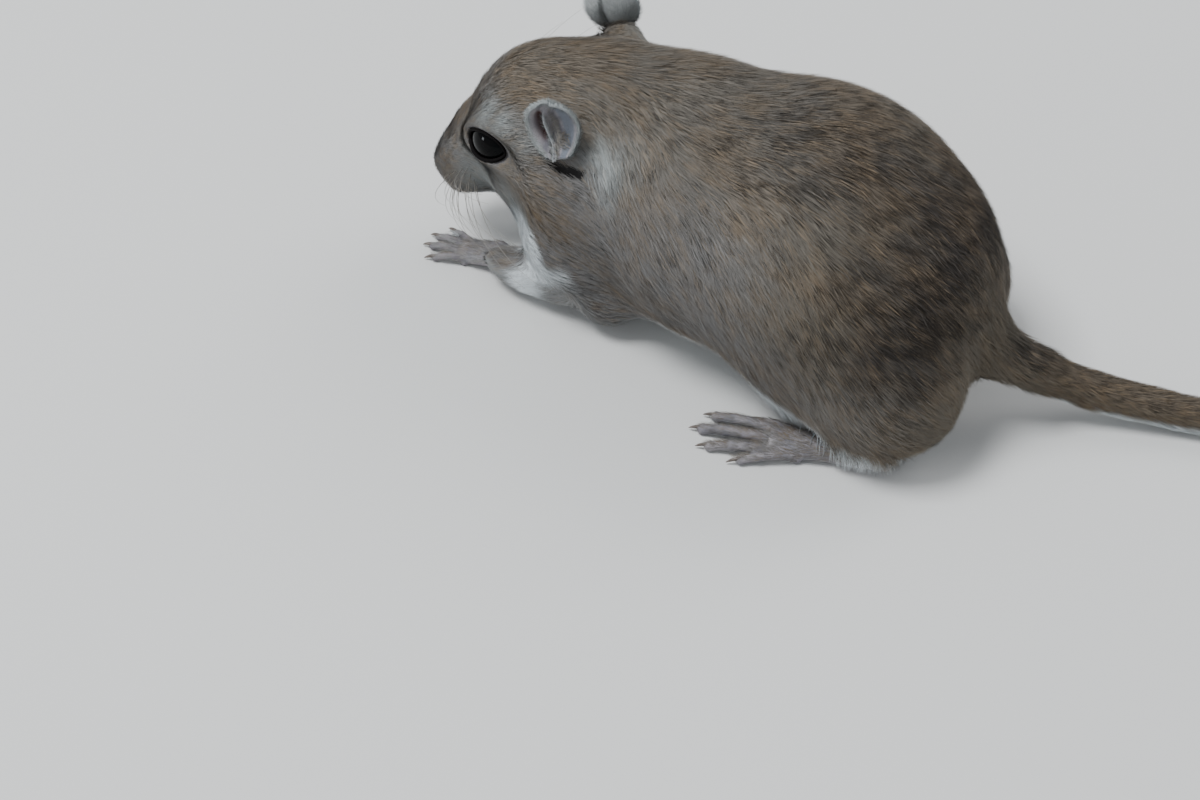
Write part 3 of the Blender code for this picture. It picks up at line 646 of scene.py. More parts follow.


# Marks on the head, in the head's frame: a place, a reach and a strength, for both sides. The last two pale
# ones, on the muzzle and below the eye, are partly painted light: they lighten the face's lower side, which
# faces away from the light.
PALE_MARKS = (
    ((5.0, 7.2, 8.2), 2.1, 0.55),
    ((2.2, 9.6, 7.0), 1.9, 0.60),
    ((-1.0, 12.2, 4.2), 1.9, 0.25),
    ((-15.2, 14.9, 1.8), 3.2, 0.62),
    ((-13.0, 16.6, -1.8), 2.2, 0.25),
    # Partly painted light: these two lighten the shaded lower side of the face.
    ((13.5, 7.0, -3.0), 5.0, 0.42),
    ((6.5, 10.5, -5.0), 4.0, 0.38),
)
WARM_MARKS = (
    ((1.0, 16.3, -4.4), 4.0, 0.50),
    ((-1.8, 18.0, -7.2), 3.4, 0.40),
    ((18.8, 4.9, -1.3), 3.2, 0.35),
    ((5.5, 12.4, -1.8), 3.0, 0.25),
    ((-2.5, 4.0, 11.0), 6.0, 0.20),
    ((14.0, 0.0, 4.0), 5.5, 0.35),
)


def markings(points, normals):
    """The coat's colours as shares: white below, warm, grey, pale and dusky places."""
    head = in_head(points)
    ragged = 1.2 * waves(points, 6.0, 5) + 0.6 * waves(points, 2.0, 6)
    x, y, z = points.T
    # The height of the white's upper edge along the body: high on the throat and chest, low at the thigh.
    places = (-45.0, -30.0, -18.0, -5.0, 8.0, 16.0, 21.0, 25.0, 40.0)
    edge = np.interp(x, places, (4.0, 7.5, 9.0, 9.0, 8.5, 10.5, 14.5, 19.0, 19.5))
    front = smooth_step(x, 12.0, 22.0)
    under = 1.0 - smooth_step(z + ragged, edge - 1.5, edge + 1.8)
    facing = smooth_step(-normals[:, 2] + 0.75 * front + 0.10 * ragged, -0.10, 0.35)
    on_face = smooth_step(head[:, 0], 3.0, 7.0) * smooth_step(head[:, 2], -16.0, -12.0)
    # On the face the white begins below the cheek and the mouth.
    lip = np.interp(head[:, 0], (2.0, 7.0, 12.0, 16.0, 22.0), (-6.4, -6.0, -7.2, -7.8, -6.8))
    chin = 1.0 - smooth_step(head[:, 2] + 0.35 * ragged, lip - 1.0, lip + 0.8)
    belly = under * facing * (1.0 - on_face) + chin * on_face
    # The white of the chest crosses the upper arm as a band, and the rest of the arm is grey.
    arm = (1.0 - smooth_step(z, 9.0, 14.0)) * smooth_step(np.abs(y), 8.0, 11.0) * smooth_step(x, 2.0, 5.0)
    band = smooth_step(x + 0.5 * ragged, 18.0, 21.5) * (1.0 - smooth_step(x - 0.35 * (z - 6.0), 24.0, 27.5))
    belly = belly * (1.0 - 0.85 * arm * (1.0 - band))
    pale, warm = np.zeros(len(points)), np.zeros(len(points))
    for total, marks in ((pale, PALE_MARKS), (warm, WARM_MARKS)):
        for spot, reach, power in marks:
            for place in both(spot):
                gap = ((points - place) ** 2).sum(axis=1)
                np.maximum(total, power * np.exp(-gap / reach**2), out=total)
    # Dark along the spine, and all over the rump.
    top = smooth_step(normals[:, 2], 0.2, 0.85)
    spine = top * np.exp(-(((y - 1.0) / 14.0) ** 2)) * (0.20 + 0.55 * smooth_step(-x, -8.0, 20.0))
    rump = smooth_step(-x + 0.8 * ragged, 13.0, 36.0) * (0.08 + 0.92 * smooth_step(z, 11.0, 27.0))
    rump *= 1.0 - 0.85 * smooth_step(-x, 36.0, 45.0)
    dusk = np.clip(np.maximum(spine, rump) + 0.06 * ragged, 0.0, 1.0) * (1.0 - pale)
    shoulder = smooth_step(x, -26.0, -4.0) * (1.0 - 0.75 * smooth_step(normals[:, 2], 0.45, 0.95))
    cheek = smooth_step(head[:, 0], -8.0, 2.0)
    shoulder *= 1.0 - 0.28 * cheek
    flank = (1.0 - smooth_step(z, 10.0, 30.0)) * (1.0 - smooth_step(-x, 26.0, 46.0))
    grey = np.clip(0.95 * shoulder + 0.70 * flank, 0.0, 1.0)
    fringe = np.exp(-(((z + ragged - edge - 2.5) / 2.4) ** 2)) * (x < 12.0)
    streaks = 0.22 * (waves(points, 9.0, 8) > 0.2) * (0.3 + 0.7 * top)
    warm = np.clip(warm + 0.25 * fringe + streaks * (1.0 - 0.5 * cheek), 0.0, 1.0)
    tail = smooth_step(-x, 48.0, 56.0)
    dusk = dusk * (1.0 - tail) + tail * (0.25 + 0.35 * smooth_step(normals[:, 2], 0.2, 0.8))
    warm = warm * (1.0 - tail) + tail * 0.30
    grey *= 1.0 - tail
    return {"belly": belly, "warm": warm, "grey": grey, "pale": pale, "dusk": dusk}


def node(tree, kind, at, links=(), **settings):
    """Adds a node with its settings and links. A link is (output socket or colour, this node's input)."""
    made = tree.nodes.new(kind)
    made.location = (at[0] * 200, at[1] * 160)
    for name, value in settings.items():
        if name.startswith("in_"):
            key = name[3:]
            made.inputs[int(key) if key.isdigit() else key.replace("_", " ")].default_value = value
        else:
            setattr(made, name, value)
    for source, target in links:
        if isinstance(source, bpy.types.NodeSocket):
            tree.links.new(source, made.inputs[target])
        else:
            made.inputs[target].default_value = (*source, 1.0)
    return made


def blank_material(name, rough, shine):
    """A material with only its output and a surface of the given roughness and specular level."""
    made = bpy.data.materials.new(name)
    made.use_nodes = True
    tree = made.node_tree
    tree.nodes.clear()
    finish = dict(in_Roughness=rough, in_Specular_IOR_Level=shine)
    surface = node(tree, "ShaderNodeBsdfPrincipled", (6, 0), **finish)
    node(tree, "ShaderNodeOutputMaterial", (8, 0), [(surface.outputs[0], 0)])
    return made, tree, surface


def marked_colour(tree, tints):
    """The coat's colour in the middle of its hairs: the markings, the same on the skin and the coat."""
    colour = tints.back
    for n, name in enumerate(("dusk", "grey", "warm", "pale", "belly")):
        share = node(tree, "ShaderNodeAttribute", (-8, 4 - n), attribute_name=name).outputs["Fac"]
        links = ((share, 0), (colour, 6), (getattr(tints, name), 7))
        colour = node(tree, "ShaderNodeMix", (n - 2, 4), links, data_type="RGBA").outputs[2]
    return colour


def coat_material(tints):
    """Agouti guard hair: slate at the root, buff in the middle and black at many of the tips.

    Keratin with a fine scaled surface: a soft dull coat, with a faint shine and no sharp highlights."""
    made, tree, surface = blank_material("agouti_hair", 0.72, 0.14)
    along, tone, tick = (
        node(tree, "ShaderNodeAttribute", (-8, -1 - n), attribute_name=name).outputs["Fac"]
        for n, name in enumerate(("along", "tone", "tick"))
    )
    light = node(tree, "ShaderNodeMapRange", (-4, -1), [(tone, 0)], in_3=0.80, in_4=1.20).outputs[0]
    shade = node(tree, "ShaderNodeCombineColor", (-2, -1), [(light, 0), (light, 1), (light, 2)]).outputs[0]
    links = [(marked_colour(tree, tints), 6), (shade, 7)]
    toned = node(tree, "ShaderNodeMix", (3, 3), links, data_type="RGBA", blend_type="MULTIPLY", in_0=1.0)
    tip = node(tree, "ShaderNodeMapRange", (-4, -2), [(along, 0)], in_1=0.50, in_2=0.80).outputs[0]
    tip = node(tree, "ShaderNodeMath", (-2, -2), [(tip, 0), (tick, 1)], operation="MULTIPLY").outputs[0]
    low = dict(in_1=0.05, in_2=0.40, in_3=0.50, in_4=0.0)
    low = node(tree, "ShaderNodeMapRange", (-4, -3), [(along, 0)], **low).outputs[0]
    colour = toned.outputs[2]
    for n, (share, tint) in enumerate(((tip, tints.tick), (low, tints.root))):
        links = ((share, 0), (colour, 6), (tint, 7))
        colour = node(tree, "ShaderNodeMix", (n - 2, 2), links, data_type="RGBA").outputs[2]
    tree.links.new(colour, surface.inputs["Base Color"])
    return made


def skin_material(tints):
    """Living skin, finely creased: mauve-grey where it is bare, and coloured like the coat below the hair.

    Creases, painted darker as the shade in them, and blotches break the bare places up, and keep them from
    looking like wax."""
    made, tree, surface = blank_material("creased_skin", 0.62, 0.22)
    where = node(tree, "ShaderNodeTexCoord", (-10, -4)).outputs["Object"]
    shares = {}
    for n, name in enumerate(("flush", "blue", "rim", "bare", "shade_and_dark_skin")):
        shares[name] = node(tree, "ShaderNodeAttribute", (-8, -2 - n), attribute_name=name).outputs["Fac"]
    # Streaks of underfur about 0.5 mm wide.
    streaks = node(tree, "ShaderNodeTexNoise", (-8, -8), [(where, 0)], in_2=900.0, in_3=3.0).outputs[0]
    range_of = dict(in_1=0.35, in_2=0.7, in_4=0.22)
    streaks = node(tree, "ShaderNodeMapRange", (-6, -8), [(streaks, 0)], **range_of).outputs[0]
    links = ((marked_colour(tree, tints), 6), (tints.root, 7))
    under = node(tree, "ShaderNodeMix", (4, 4), links, data_type="RGBA", in_0=0.28)
    # Skin folds about 0.4 mm apart on the feet and ears, their lines painted darker as the shade in the
    # creases, and blotches of 2 mm.
    links = [(where, "Vector")]
    folds = node(tree, "ShaderNodeTexVoronoi", (-8, -9), links, feature="DISTANCE_TO_EDGE", in_2=2200.0)
    range_of = dict(in_2=0.05, in_3=0.30, in_4=0.0)
    dark = node(tree, "ShaderNodeMapRange", (-6, -9), [(folds.outputs[0], 0)], **range_of).outputs[0]
    blotch = node(tree, "ShaderNodeTexNoise", (-8, -10), [(where, 0)], in_2=420.0, in_3=4.0).outputs[0]
    blotch = node(tree, "ShaderNodeMapRange", (-6, -10), [(blotch, 0)], in_1=0.35, in_2=0.65).outputs[0]
    bare = tints.bare
    layers = (
        (blotch, tints.mauve),
        (shares["flush"], tints.flush),
        (shares["blue"], tints.ear),
        (shares["rim"], tints.pale),
        (dark, tints.tick),
    )
    for n, (share, tint) in enumerate(layers):
        links = ((share, 0), (bare, 6), (tint, 7))
        bare = node(tree, "ShaderNodeMix", (n - 2, -4), links, data_type="RGBA").outputs[2]
    colour = under.outputs[2]
    layers = ((streaks, tints.tick), (shares["bare"], bare), (shares["shade_and_dark_skin"], tints.shade_and_dark_skin))
    for n, (share, tint) in enumerate(layers):
        links = ((share, 0), (colour, 6), (tint, 7))
        colour = node(tree, "ShaderNodeMix", (n - 2, 0), links, data_type="RGBA").outputs[2]
    tree.links.new(colour, surface.inputs["Base Color"])
    links = [(folds.outputs[0], "Height")]
    relief = node(tree, "ShaderNodeBump", (4, -4), links, in_Strength=0.35, in_Distance=0.08 * MM)
    tree.links.new(relief.outputs[0], surface.inputs["Normal"])
    return made


def plain_material(name, first, second, size, rough, shine=0.5, bump=0.0):
    """A surface whose colour drifts between two over the given size in millimetres."""
    made, tree, surface = blank_material(name, rough, shine)
    where = node(tree, "ShaderNodeTexCoord", (-4, 0)).outputs["Object"]
    scale = 1.0 / (size * MM)
    drift = node(tree, "ShaderNodeTexNoise", (-2, 0), [(where, 0)], in_2=scale, in_3=3.0).outputs[0]
    share = node(tree, "ShaderNodeMapRange", (0, 0), [(drift, 0)], in_1=0.3, in_2=0.7).outputs[0]
    links = ((share, 0), (first, 6), (second, 7))
    colour = node(tree, "ShaderNodeMix", (2, 0), links, data_type="RGBA").outputs[2]
    tree.links.new(colour, surface.inputs["Base Color"])
    if bump:
        links = [(drift, "Height")]
        lumps = node(tree, "ShaderNodeBump", (3, -2), links, in_Strength=0.4, in_Distance=bump * MM)
        tree.links.new(lumps.outputs[0], surface.inputs["Normal"])
    return made, surface


def build_tufts(name, data, bent, zone):
    """One coat piece from the chosen tufts, with its attributes and its map."""
    chosen = {key: rows[zone] for key, rows in data.items()}
    count = len(chosen["root"])
    rings = 2 if bent else 1
    each = 3 * rings + 1
    roots, ways, normals = chosen["root"], chosen["way"], chosen["normal"]
    length, width = chosen["length"][:, None], chosen["width"][:, None]
    side = unit(np.cross(ways, normals))
    angle = chosen["lift"][:, None]
    out = ways * np.cos(angle) + normals * np.sin(angle)
    base = roots - normals * 0.3 * width - out * 0.04 * length
    tip = chosen["tip"]
    points = np.empty((count, each, 3))
    corners = ((0.5, 0.0), (-0.5, 0.0), (0.0, TUFT_RIDGE))
    for k, (across, up) in enumerate(corners):
        points[:, k] = base + side * across * width + normals * up * width
    if bent:
        middle = chosen["middle"]
        for k, (across, up) in enumerate(corners):
            points[:, 3 + k] = middle + side * across * width * 0.85 + normals * up * width * 0.85
    points[:, -1] = tip
    points[:, :, 2] = np.maximum(points[:, :, 2], 0.05)
    if bent:
        pattern = ((0, 2, 1), (0, 1, 4), (0, 4, 3), (1, 2, 5), (1, 5, 4))
        pattern += ((2, 0, 3), (2, 3, 5), (3, 4, 6), (4, 5, 6), (5, 3, 6))
        along = np.array((0.0, 0.0, 0.0, 0.5, 0.5, 0.5, 1.0))
        across = np.array((-0.5, 0.5, 0.0, -0.4, 0.4, 0.0, 0.0))
    else:
        pattern = ((0, 2, 1), (0, 1, 3), (1, 2, 3), (2, 0, 3))
        along = np.array((0.0, 0.0, 0.0, 1.0))
        across = np.array((-0.5, 0.5, 0.0, 0.0))
    faces = (np.arange(count)[:, None, None] * each + np.array(pattern)[None]).reshape(-1, 3)
    mesh = shape_from(name, points.reshape(-1, 3), faces)
    # The light falls on the coat as on the skin below it, a little rounded across each tuft.
    rounded = unit(chosen["even"][:, None, :] - TUFT_ROUNDING * side[:, None, :] * across[None, :, None])
    mesh.normals_split_custom_set_from_vertices(rounded.reshape(-1, 3).tolist())
    write(mesh, "along", np.tile(along, count))
    for key in ("tone", "tick", *COAT_MARKS):
        write(mesh, key, np.repeat(chosen[key], each))
    patch = np.stack([along - 0.5, across], axis=1)[None] * TUFT_PATCH + chosen["spot"][:, None, :]
    patch = np.clip(patch.reshape(-1, 2), 0.0, 1.0)
    layer = mesh.uv_layers.new(name="OFBake")
    layer.uv.foreach_set("vector", patch[faces.ravel()].astype(np.float32).ravel())
    return mesh


def scattered(mesh, density, chance):
    """Roots spread over the skin by a density at each point: their face and place in it."""
    corners = faces_of(mesh)
    points = points_of(mesh)
    a, b, c = (points[corners[:, k]] for k in range(3))
    area = 0.5 * np.linalg.norm(np.cross(b - a, c - a), axis=1)
    wanted = area * density[corners].mean(axis=1)
    number = np.floor(wanted + chance.random(len(wanted))).astype(int)
    face = np.repeat(np.arange(len(corners)), number)
    u, v = chance.random(len(face)), chance.random(len(face))
    over = u + v > 1.0
    u[over], v[over] = 1.0 - u[over], 1.0 - v[over]
    share = np.column_stack([1.0 - u - v, u, v])
    return face, share


def at_roots(values, corners, face, share):
    """A value or vector of the skin's points, taken at the roots."""
    picked = values[corners[face]]
    if picked.ndim == 2:
        return (picked * share).sum(axis=1)
    return (picked * share[:, :, None]).sum(axis=1)


def surface_under(tree, places, roots, normals):
    """The skin's nearest place and normal under each place."""
    found_place, found_normal = roots.copy(), normals.copy()
    for n, spot in enumerate(places):
        hit, normal, _, _ = tree.find_nearest(spot)
        if hit is not None:
            found_place[n] = hit
            found_normal[n] = normal
    return found_place, found_normal


def tuft_data(skin, kind, chance, settings):
    """All the tufts of one kind: where they stand, how they lie and what they are coloured."""
    mesh = skin.data
    points, normals = points_of(mesh), normals_of(mesh)
    corners = faces_of(mesh)
    on_foot, on_ear = read(mesh, "on_foot"), read(mesh, "on_ear")
    shares = region_shares(points, normals, on_foot, on_ear)
    density = coat_value(shares, 4 if kind == "bent" else 5) * read(mesh, "hairy") * settings.thickness
    face, share = scattered(mesh, density, chance)

    def there(values):
        return at_roots(values, corners, face, share)

    root, normal = there(points), unit(there(normals))
    # The skin's normals without its creases, for the light on the coat.
    even = unit(there(unit(relaxed(mesh, normals, 30, 0.6))))
    data = {"root": root, "normal": normal, "even": even}
    length, width, lift = (there(coat_value(shares, column)) for column in (1, 2, 3))
    count = len(root)
    fine = 0.60 if kind == "straight" else 1.0
    way = lie_of_coat(root, normal)
    foot, ear = there(on_foot)[:, None], there(on_ear)[:, None]
    way = way * (1.0 - foot) + (np.array((1.0, 0.0, -0.15)) + 0.0 * root) * foot
    across = there(read(mesh, "across"))[:, None]
    up = unit(np.array(EAR_TIP) - np.array(EAR_ROOT)) @ HEAD.T
    way = way * (1.0 - ear) + ear * (up + 0.7 * across * (-HEAD[:, 0]))
    way = unit(unit(way) + 0.14 * chance.normal(size=way.shape))
    way = unit(way - normal * (way * normal).sum(axis=1, keepdims=True))
    # The brush on the last part of the tail: longer hairs that stand out more.
    tail_share, _ = on_tail(root)
    on_end = smooth_step(tail_share, BRUSH_FROM - 0.04, BRUSH_FROM + 0.10) * (root[:, 0] < -60.0)
    on_top = smooth_step(normal[:, 2], -0.6, 0.5)
    length = length * (1.0 + on_end * (1.1 + 1.1 * on_top)) * chance.uniform(0.78, 1.18, count)
    lift = np.radians((lift + on_end * 12.0) * chance.uniform(0.78, 1.22, count))
    width = width * fine * chance.uniform(0.75, 1.2, count)
    out = way * np.cos(lift)[:, None] + normal * np.sin(lift)[:, None]
    tree = BVHTree.FromPolygons(points.tolist(), corners.tolist())

    def held(places, height):
        """The places, moved to the given height over the skin below them."""
        found, below = surface_under(tree, places, root, normal)
        rise = ((places - found) * below).sum(axis=1)
        return places + below * (np.clip(height - rise, -2.0, 2.0))[:, None], below

    height = length * np.sin(lift)
    if kind == "bent":
        middle, below = held(root + out * (0.5 * length)[:, None], 0.5 * height)
        below = unit(below + normal)
        second = unit(way - below * (way * below).sum(axis=1, keepdims=True))
        tip, _ = held(middle + second * (0.5 * length)[:, None], 0.72 * height)
        data["middle"] = middle
    else:
        tip, _ = held(root + out * length[:, None], height)
    # Hairs gather into locks: tips lean to the tip of the lock's own hair.
    step = 5 if kind == "bent" else 10
    chosen = chance.permutation(count)[: max(count // step, 1)]
    finder = KDTree(len(chosen))
    for n, spot in enumerate(root[chosen]):
        finder.insert(spot, n)
    finder.balance()
    lock = np.array([finder.find(spot)[1] for spot in root])
    target = tip[chosen][lock] + (root - root[chosen][lock]) * 0.35
    pull = settings.locks * chance.uniform(0.5, 1.0, count)
    data["tip"] = tip + (target - tip) * pull[:, None]
    data["way"], data["length"], data["width"], data["lift"] = way, length, width, lift
    for name in COAT_MARKS:
        data[name] = np.clip(there(read(mesh, name)), 0.0, 1.0)
    lock_tone = chance.random(len(chosen))[lock]
    data["tone"] = np.clip(0.5 * chance.random(count) + 0.5 * lock_tone, 0.0, 1.0)
    # Here and there a lock keeps its brown middle.
    brown = (chance.random(len(chosen))[lock] < 0.30) * (1.0 - data["belly"])
    data["warm"] = np.clip(data["warm"] + 0.40 * brown, 0.0, 1.0)
    patchy = 0.5 + 0.5 * np.clip(waves(root, 1.7, 9) + 0.7 * waves(root, 0.8, 10), -1.0, 1.0)
    odds = (0.20 + 0.55 * data["dusk"]) * (0.35 + 0.90 * patchy)
    odds *= (1.0 - data["belly"]) * (1.0 - 0.8 * data["pale"]) * (1.0 - ear[:, 0])
    odds = np.clip(odds + on_end * on_top * 0.8, 0.0, 1.0)
    tick = (0.65 * lock_tone + 0.35 * chance.random(count)) < odds
    data["tick"] = tick * chance.uniform(0.55, 1.0, count)
    layer = mesh.uv_layers["OFBake"]
    flat = np.empty(len(mesh.loops) * 2, np.float32)
    layer.uv.foreach_get("vector", flat)
    flat = flat.reshape(-1, 3, 2).astype(float)
    data["spot"] = (flat[face] * share[:, :, None]).sum(axis=1)
    data["part"] = np.where(ear[:, 0] > 0.5, 2, np.where(foot[:, 0] > 0.5, 1, 0))
    return data


def coat_zone(data):
    """The name of the coat piece that each tuft belongs to."""
    root = data["root"]
    head = in_head(root)
    x, z = root[:, 0], root[:, 2]
    names = np.full(len(root), "coat_ribs", dtype=object)
    names[x < -8.0] = "coat_loin"
    names[x < -24.0] = "coat_rump"
    names[x > 10.0] = "coat_shoulders"
    names[(data["normal"][:, 2] < -0.35) & (z < 14.0)] = "coat_belly"
    names[x < -51.0] = "coat_tail"
    names[head[:, 0] > -10.0] = "coat_head"
    names[(head[:, 0] < 4.0) & (z < 9.0) & (x > 12.0)] = "coat_forelegs"
    names[data["part"] == 1] = "coat_feet"
    names[data["part"] == 2] = "coat_ears"
    return names


class GerbilSkinSettings(PropertyGroup):
    grain: FloatProperty(
        name="Grain",
        description="Spacing of the points when the flesh is fused",
        default=0.34 * MM,
        min=0.2 * MM,
        precision=5,
        subtype="DISTANCE",
    )
    faces: IntProperty(name="Faces", description="Triangles of the body's skin", default=150000, min=20000)


class GerbilCoatSettings(PropertyGroup):
    thickness: FloatProperty(
        name="Thickness",
        description="How many tufts there are, as a share of the full coat",
        default=1.0,
        min=0.05,
        max=2.0,
        subtype="FACTOR",
    )
    locks: FloatProperty(
        name="Locks",
        description="How far the hairs' tips gather into locks",
        default=0.45,
        min=0.0,
        max=1.0,
        subtype="FACTOR",
    )


def tint(name, description, code):
    """A colour that a user may change, given as an sRGB hex value."""
    return FloatVectorProperty(
        name=name, description=description, subtype="COLOR", size=3, min=0.0, max=1.0, default=linear(code)
    )


class GerbilTints(PropertyGroup):
    back: tint("Back", "The middle of the hairs on the back", "#6c655a")
    dusk: tint("Dusk", "The middle of the hairs on the spine and the rump", "#433e3a")
    grey: tint("Grey", "The middle of the hairs on shoulders and flanks", "#73716f")
    warm: tint("Warm", "Brown on the cheeks, the muzzle and in streaks on the back", "#786752")
    pale: tint("Pale", "Pale grey round the eyes and behind the ears", "#a5adad")
    belly: tint("Belly", "White underside", "#dde3e5")
    tick: tint("Tick", "Black tips of the hairs", "#191613")
    root: tint("Root", "Slate roots of the hairs", "#454240")
    bare: tint("Bare", "Bare skin of the paws", "#8d888a")
    mauve: tint("Mauve", "Darker bare skin", "#6c6a70")
    # Red skin, as on the nose and lips, painted darker in the ear's front fold as the shade in it.
    ear: tint("Ear", "Blue grey inside the ears", "#666a72")
    # Near-black: the painted shadow in the notch under the ear and in the mouth's crease, and the dark skin
    # of the lids.
    flush: tint("Flush", "Dark red in the ear's front fold", "#3f2624")
    shade_and_dark_skin: tint("Notch", "Shadowed notch under the ear", "#141110")
    lid: tint("Lid", "Dark rims of the lids", "#100d0d")
    pupil: tint("Pupil", "Black of the eyes", "#050607")
    iris: tint("Iris", "Very dark brown of the eyes", "#0b0909")
    whisker: tint("Whisker", "Whiskers, where they are darker", "#6b655d")
    whisker_pale: tint("Pale whisker", "Whiskers, where they are paler", "#8f8a82")
    claw: tint("Claw", "Horn of the claws", "#6a5f57")
    floor: tint("Floor", "The plain floor", "#cfcecb")


class GERBIL_OT_skin(Operator):
    """Fuses the flesh nodes into one skin that lies inside them by the coat's depth"""

    bl_idname = "gerbil.skin"
    bl_label = "Skin"

    def execute(self, context):
        settings = context.scene.gerbil_skin
        skin = fused(link("skin", self.flesh()), settings.grain / MM)
        points = points_of(skin.data)
        head = smooth_step(in_head(points)[:, 0], -10.0, 0.0)
        points = relaxed(skin.data, points, 14, 0.6 - 0.36 * head)
        # The cheek and the snout run softly into the lids.
        around = np.zeros(len(points))
        for side in (1, -1):
            gap = np.linalg.norm(in_head(points) - np.array(mirrored(EYE, side)), axis=1)
            outside = smooth_step(in_opening(in_head(points), side), 1.10, 1.40)
            around = np.maximum(around, outside * (1.0 - smooth_step(gap, 6.5, 9.0)))
        points = relaxed(skin.data, points, 18, 0.6 * around)
        place_points(skin.data, points)
        normals = normals_of(skin.data)
        normals = unit(relaxed(skin.data, normals, 6, 0.5))
        none = np.zeros(len(points))
        depth = coat_value(region_shares(points, normals, none, none), 0)
        depth = relaxed(skin.data, np.column_stack([depth] * 3), 8, 0.5)[:, 0]
        points = points - normals * (depth + SWELL)[:, None]
        points[:, 2] = np.maximum(points[:, 2], 0.25)
        place_points(skin.data, points)
        # Faces go only where the coat is long, and the face and the tail keep all of theirs.
        group = skin.vertex_groups.new(name="thin")
        inside = in_head(points)[:, 0]
        thin = np.where((inside < 2.0) & (points[:, 0] > -55.0))[0]
        group.add(thin.tolist(), 1.0, "REPLACE")
        thinned(skin, settings.faces, "thin")
        points = points_of(skin.data)
        parts = [(points, faces_of(skin.data))]
        marks = {name: [np.zeros(len(points))] for name in SKIN_PLACES}
        for side in (1, -1):
            for place, sole, half, toes, faces in (
                (HIND_FOOT, HIND_SOLE, HIND_SOLE_HALF, HIND_TOES, 7000),
                (FORE_PAW, FORE_SOLE, FORE_SOLE_HALF, FORE_TOES, 5000),
            ):
                foot = foot_shape(place, sole, half, toes, side, faces)
                parts.append(foot)
                for name in marks:
                    marks[name].append(np.full(len(foot[0]), 1.0 if name == "on_foot" else 0.0))
            ear, faces, across, along, inner = ear_shape(side)
            parts.append((ear, faces))
            values = (np.zeros(len(ear)), np.ones(len(ear)), across, along, inner)
            for name, value in zip(SKIN_PLACES, values):
                marks[name].append(value)
        mesh = shape_from("skin", *gathered(parts))
        skin.data = mesh
        for name, values in marks.items():
            write(mesh, name, np.concatenate(values))
        self.unwrap(skin)
        self.paint(mesh)
        mesh.materials.append(skin_material(context.scene.gerbil_tints))
        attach(skin, "root")
        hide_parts(*FLESH_NODES)
        return {"FINISHED"}

    def flesh(self):
        """The flesh nodes grown until they meet, the tail in one sweep, and the balls that round it out."""
        whole = bmesh.new()
        for name in BODY_NODES:
            part = bmesh.new()
            part.from_mesh(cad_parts[name].data)
            bmesh.ops.remove_doubles(part, verts=part.verts, dist=1e-6)
            bmesh.ops.recalc_face_normals(part, faces=part.faces)
            part.normal_update()
            for vert in part.verts:
                vert.co += vert.normal * (SWELL * MM)
            swollen = bpy.data.meshes.new("part")
            part.to_mesh(swollen)
            part.free()
            whole.from_mesh(swollen)
            bpy.data.meshes.remove(swollen)
        shares = np.linspace(0.30, 1.0, 90)
        line, half = tail_at(shares)
        line[:, 2] = np.where(shares > 0.5, np.minimum(line[:, 2], half - 0.15), line[:, 2])
        whole.from_mesh(shape_from("tail", tube_points(line, half, 24), tube_faces(len(shares), 24)))
        whole.from_mesh(shape_from("waist", *ball_mesh(*WAIST, 5)))
        for side in (1, -1):
            points, faces = ball_mesh(mirrored(EAR_BASE[0], side), EAR_BASE[1], 4)
            whole.from_mesh(shape_from("ear_base", from_head(points), faces))
        flesh = bpy.data.meshes.new("flesh")
        whole.to_mesh(flesh)
        whole.free()
        return flesh

    def unwrap(self, skin):
        """An unwrap of the skin's own shape, which the coat's tufts take their places from."""
        skin.data.uv_layers.new(name="OFBake")
        bpy.context.view_layer.objects.active = skin
        skin.select_set(True)
        bpy.ops.object.mode_set(mode="EDIT")
        bpy.ops.mesh.select_all(action="SELECT")
        bpy.ops.uv.smart_project(angle_limit=math.radians(66.0), island_margin=0.002)
        bpy.ops.object.mode_set(mode="OBJECT")

    def lines_on_skin(self, mesh, line):
        """Both sides' line of head places, drawn finely on the skin."""
        tree = BVHTree.FromPolygons(points_of(mesh).tolist(), faces_of(mesh).tolist())
        found = []
        for side in (1, -1):
            marks = from_head([mirrored(spot, side) for spot in line])
            for start, end in zip(marks, marks[1:]):
                for share in np.linspace(0.0, 1.0, 8):
                    found.append(np.array(tree.find_nearest(start + (end - start) * share)[0]))
        return np.array(found)

    def paint(self, mesh):
        """Creases, markings, bare places, and where the coat grows."""
        points, normals = points_of(mesh), normals_of(mesh)
        foot, ear = read(mesh, "on_foot"), read(mesh, "on_ear")
        across, along, inner = read(mesh, "across"), read(mesh, "up_ear"), read(mesh, "inner")
        notch_gap = gap_to(points, self.lines_on_skin(mesh, NOTCH)) + 9.0 * ear
        mouth_gap = gap_to(points, self.lines_on_skin(mesh, MOUTH))
        points = points - normals * (1.0 * np.exp(-((notch_gap / 1.0) ** 2)))[:, None]
        place_points(mesh, points)
        marks = markings(points, normals)
        rim = np.maximum(smooth_step(np.abs(across), 0.86, 0.97), smooth_step(along, 0.90, 0.98)) * ear
